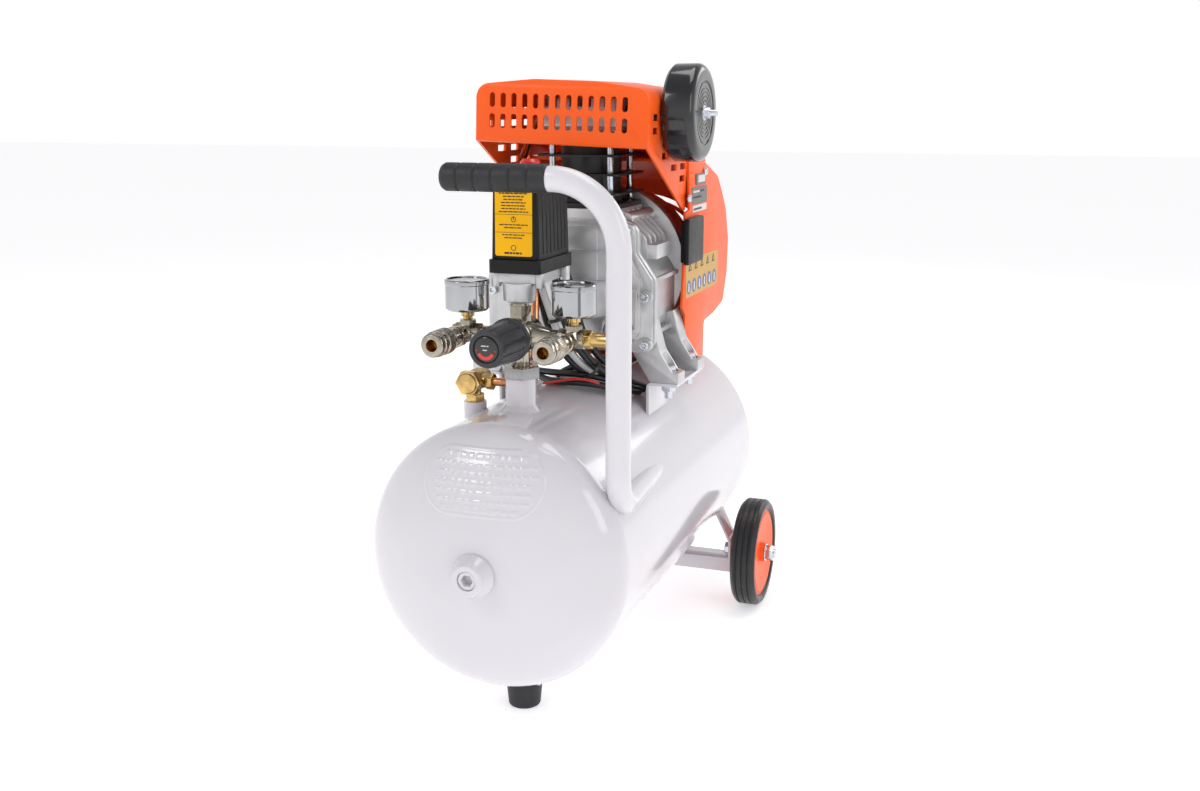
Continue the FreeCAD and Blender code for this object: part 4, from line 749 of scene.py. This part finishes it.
# ---------------------------------------------------------------- labels
def make_switch_label():
    low, high = span("switch_cover")
    tilt = 1.5 / (high[2] - low[2])
    yellow = paint("label_yellow", (0.98, 0.50, 0.002), 0.45, shade=0.05, shade_scale=30.0, specular=0.2)
    ink = paint("label_ink", (0.03, 0.022, 0.012), 0.5, shade=0.1)
    dice = random.Random(3)
    wide, base, top = 36.0, 3.5, 66.0
    left = -19.0
    marks = print_rows(left + 3, top - 4.6, wide - 6, 8, 2.7, 1.05, dice)
    marks += [bar(left, 40.5, wide, 0.35), bar(left, 24.5, wide, 0.35)]
    marks += print_rows(left + 4, 31.0, wide - 8, 2, 2.6, 1.0, dice)
    marks += print_rows(left + 4, 22.0, wide - 8, 2, 2.6, 1.0, dice)
    marks += print_rows(left + 7, 5.4, 22, 1, 2, 1.7, dice)
    middle = left + wide / 2
    marks += arc_band(middle, 36.3, 1.9, 2.5, 0, 360, 24) + [bar(middle - 0.35, 36.0, 0.7, 3.0)]
    marks += arc_band(middle, 11.0, 1.9, 2.5, 0, 360, 24)
    card = panel(left, base, left + wide, top, 2.2)
    slab("switch_label", [(yellow, 0.05, [card]), (ink, 0.16, marks)], 0.15,
         lambda u, v, w: Vector((u, low[1] + tilt * v - w, low[2] + v)), "black_plastic")


def make_shroud_labels():
    high = span("fan_shroud")[1]
    face = high[0] + 0.02
    grey = paint("label_grey", (0.16, 0.15, 0.14), 0.4, shade=0.1)
    white = paint("label_white", (0.72, 0.70, 0.68), 0.4, shade=0.05)
    ochre = paint("label_ochre", (0.62, 0.36, 0.06), 0.4, shade=0.08)
    blue = paint("label_blue", (0.05, 0.12, 0.35), 0.4, shade=0.08)
    ink = paint("label_dark", (0.03, 0.03, 0.03), 0.5, shade=0.1)
    z0 = middle_of("motor_stator")[2]
    dice = random.Random(5)

    def place(u, v, w):
        return Vector((face + w, u, z0 + v))

    plates = [panel(80, 66, 140, 84, 2), panel(96, 86, 134, 98, 1.5)]
    cards = [panel(104, 88.5, 131, 96, 1), panel(83, 58, 138, 65, 1)]
    lines = print_rows(84, 78.5, 50, 2, 6.0, 2.0, dice, False)
    lines += print_rows(86, 60, 48, 1, 4, 2.2, dice, False)
    pale_lines, dark_lines = lines[:6], lines[6:]
    slab("shroud_rating_label", [(grey, 0.0, plates), (white, 0.12, cards + pale_lines),
                                 (ink, 0.24, dark_lines)], 0.12, place, "orange_plastic")
    icons, signs = [], []
    for k in range(6):
        u = 72 + 21 * k
        icons.append(disc(u, -20, 7.6))
        signs += [disc(u, -17.5, 2.0, 16), bar(u - 2.2, -25, 4.4, 6.0)]
    triangles = [[(70 + 24 * k, -3), (82 + 24 * k, -3), (76 + 24 * k, 6.5)] for k in range(5)]
    inner = [[(73.6 + 24 * k, -1.6), (78.4 + 24 * k, -1.6), (76 + 24 * k, 3.4)] for k in range(5)]
    slab("shroud_warning_label", [(ochre, 0.0, [panel(60, -31, 192, 9, 3)]), (blue, 0.12, icons),
                                  (white, 0.24, signs), (ink, 0.14, triangles), (ochre, 0.28, inner)],
         0.12, place, "orange_plastic")


# ---------------------------------------------------------------- wiring
def wire(name, points, r, slot, own=None):
    """A held lead along a smooth curve; its points and radius are in mm."""
    curve = bpy.data.curves.new(name, "CURVE")
    curve.dimensions = "3D"
    curve.bevel_depth = r * MM
    curve.bevel_resolution = 4
    curve.use_fill_caps = True
    spline = curve.splines.new("NURBS")
    spline.points.add(len(points) - 1)
    for point, place in zip(spline.points, points):
        point.co = (*[c * MM for c in place], 1)
    spline.order_u = 4
    spline.use_endpoint_u = True
    piece = bpy.data.objects.new(name, curve)
    bpy.context.collection.objects.link(piece)
    curve.materials.append(own or material(slot))
    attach(piece, ROOT)
    return piece


def make_wiring():
    """Leads strapped behind the manifold, from the switch's mount down and back under the crankcase. The
    three back leads under the crankcase are partly real leads and partly a dark fill that paints the shade
    and the dark reflection in the gap between tank and crankcase.
    """
    grey = paint("lead_grey", (0.55, 0.55, 0.56), 0.35, shade=0.08)
    red = paint("lead_red", (0.60, 0.03, 0.02), 0.35, shade=0.08)
    wire("lead_sheath", [(-14, -97, 418), (-11, -96, 400), (-4, -95, 380), (3, -94, 358), (14, -88, 336),
                         (28, -74, 314), (40, -52, 304)], 3.6, "cable", grey)
    wire("lead_black_a", [(-16, -93, 416), (-14, -92, 398), (-11, -92, 378), (-6, -91, 357), (6, -87, 334),
                          (22, -76, 312), (34, -50, 303)], 3.2, "cable")
    wire("lead_black_b", [(2, -93, 416), (3, -92, 398), (7, -91, 378), (13, -90, 357), (24, -86, 335),
                          (40, -70, 311), (54, -40, 296)], 3.2, "cable")
    wire("lead_black_c", [(9, -92, 416), (9, -91, 398), (12, -90, 378), (18, -88, 356), (30, -83, 332),
                          (48, -66, 306), (60, -34, 290)], 2.8, "cable")
    # painted shade: these three back leads are partly leads and partly a dark fill for the shade and the
    # dark reflection under the crankcase
    wire("lead_and_shade_fill_a", [(-34, -52, 302), (-20, -70, 301), (0, -79, 301), (22, -77, 302), (42, -68, 299),
                         (58, -52, 291), (66, -22, 284)], 3.4, "cable")
    wire("lead_and_shade_fill_b", [(-38, -44, 304), (-22, -62, 307), (2, -72, 309), (24, -70, 309), (44, -60, 304),
                         (60, -42, 294), (68, -14, 285)], 3.4, "cable")
    wire("lead_and_shade_fill_c", [(-8, -60, 304), (12, -66, 318), (30, -66, 318), (48, -56, 310), (62, -36, 297),
                         (69, -8, 286)], 3.2, "cable")
    wire("lead_red", [(-14, -84, 300), (0, -88, 303), (14, -88, 307), (30, -84, 308), (42, -76, 302)],
         1.3, "cable", red)
    ties = (((4, -91, 368), (0.28, 0.06, -0.95)), ((34, -75, 316), (0.62, 0.38, -0.68)),
            ((50, -60, 302), (0.70, 0.58, -0.42)))
    strap = [(9.0, 0, 0.2), (9.9, 0, 0.2), (9.9, 3.4, 0.2), (9.0, 3.4, 0.2)]
    for k, (at, along) in enumerate(ties):
        lathe("tie_%d" % k, strap, at, along, "cable", steps=40)


def make_sight_glass():
    """A bright bezel round a milky window with a red level dot."""
    low, high = span("oil_sight_glass")
    x, _, z = middle_of("oil_sight_glass")
    r = (high[2] - low[2]) / 2
    front = low[1]
    deep = high[1] - low[1]
    ring = [(9.2, -deep, 0), (r, -deep, 0), (r, -1.4, 0.4), (r - 1.0, 0, 0.6), (10.4, 0, 0.4),
            (9.4, -1.8, 0.3)]
    bezel = lathe("sight_bezel", ring, (x, front, z), (0, -1, 0), "dark_steel", steps=96)
    milk = paint("sight_window", (0.36, 0.37, 0.37), 0.10, coat=0.5, shade=0.1)
    red = paint("sight_dot", (0.70, 0.03, 0.02), 0.25, coat=0.4, shade=0.1)
    lathe("sight_window", [(0, -4.6, 0), (9.6, -4.6, 0), (9.6, -2.2, 0.3), (0, -1.7, 0)],
          (x, front, z), (0, -1, 0), "lens", steps=64, own=milk)
    lathe("sight_dot", [(0, -1.9, 0), (2.8, -1.9, 0), (2.8, -1.5, 0.2), (0, -1.4, 0)],
          (x, front, z), (0, -1, 0), "red_plastic", steps=40, own=red)
    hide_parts("oil_sight_glass")


def make_hood_screws():
    """Cross-headed screws that hold the hood's wings to the fan shroud."""
    low, high = span("fan_shroud")
    hood_low = span("hood")[0][2]
    profile = [(0, -0.5, 0), (4.6, -0.5, 0), (4.6, 0.6, 0.3), (3.4, 2.4, 0.8), (1.2, 2.8, 0), (1.0, 1.6, 0),
               (0, 1.6, 0)]
    for side, wall in ((-1, low[0]), (1, high[0])):
        for k, (y, z) in enumerate(((68, hood_low + 13), (132, hood_low + 38))):
            name = "hood_screw_%s_%d" % ("left" if side < 0 else "right", k)
            lathe(name, profile, (wall, y, z), (side, 0, 0), "zinc_steel", steps=40)


make_camera()
bpy.context.scene.view_settings.view_transform = "Standard"
make_world()
make_lights()
make_floor()
finish_nodes()
soften_nodes()
make_tyre("left", "tyre_left", "wheel_left")
make_tyre("right", "tyre_right", "wheel_right")
make_filter()
make_gauges()
make_coupler_sleeve("left", "coupler_sleeve_left")
make_coupler_sleeve("right", "coupler_sleeve_right")
make_regulator_knob()
make_grip()
make_dome_plate()
make_switch_label()
make_shroud_labels()
make_wiring()
make_hood_screws()
make_sight_glass()
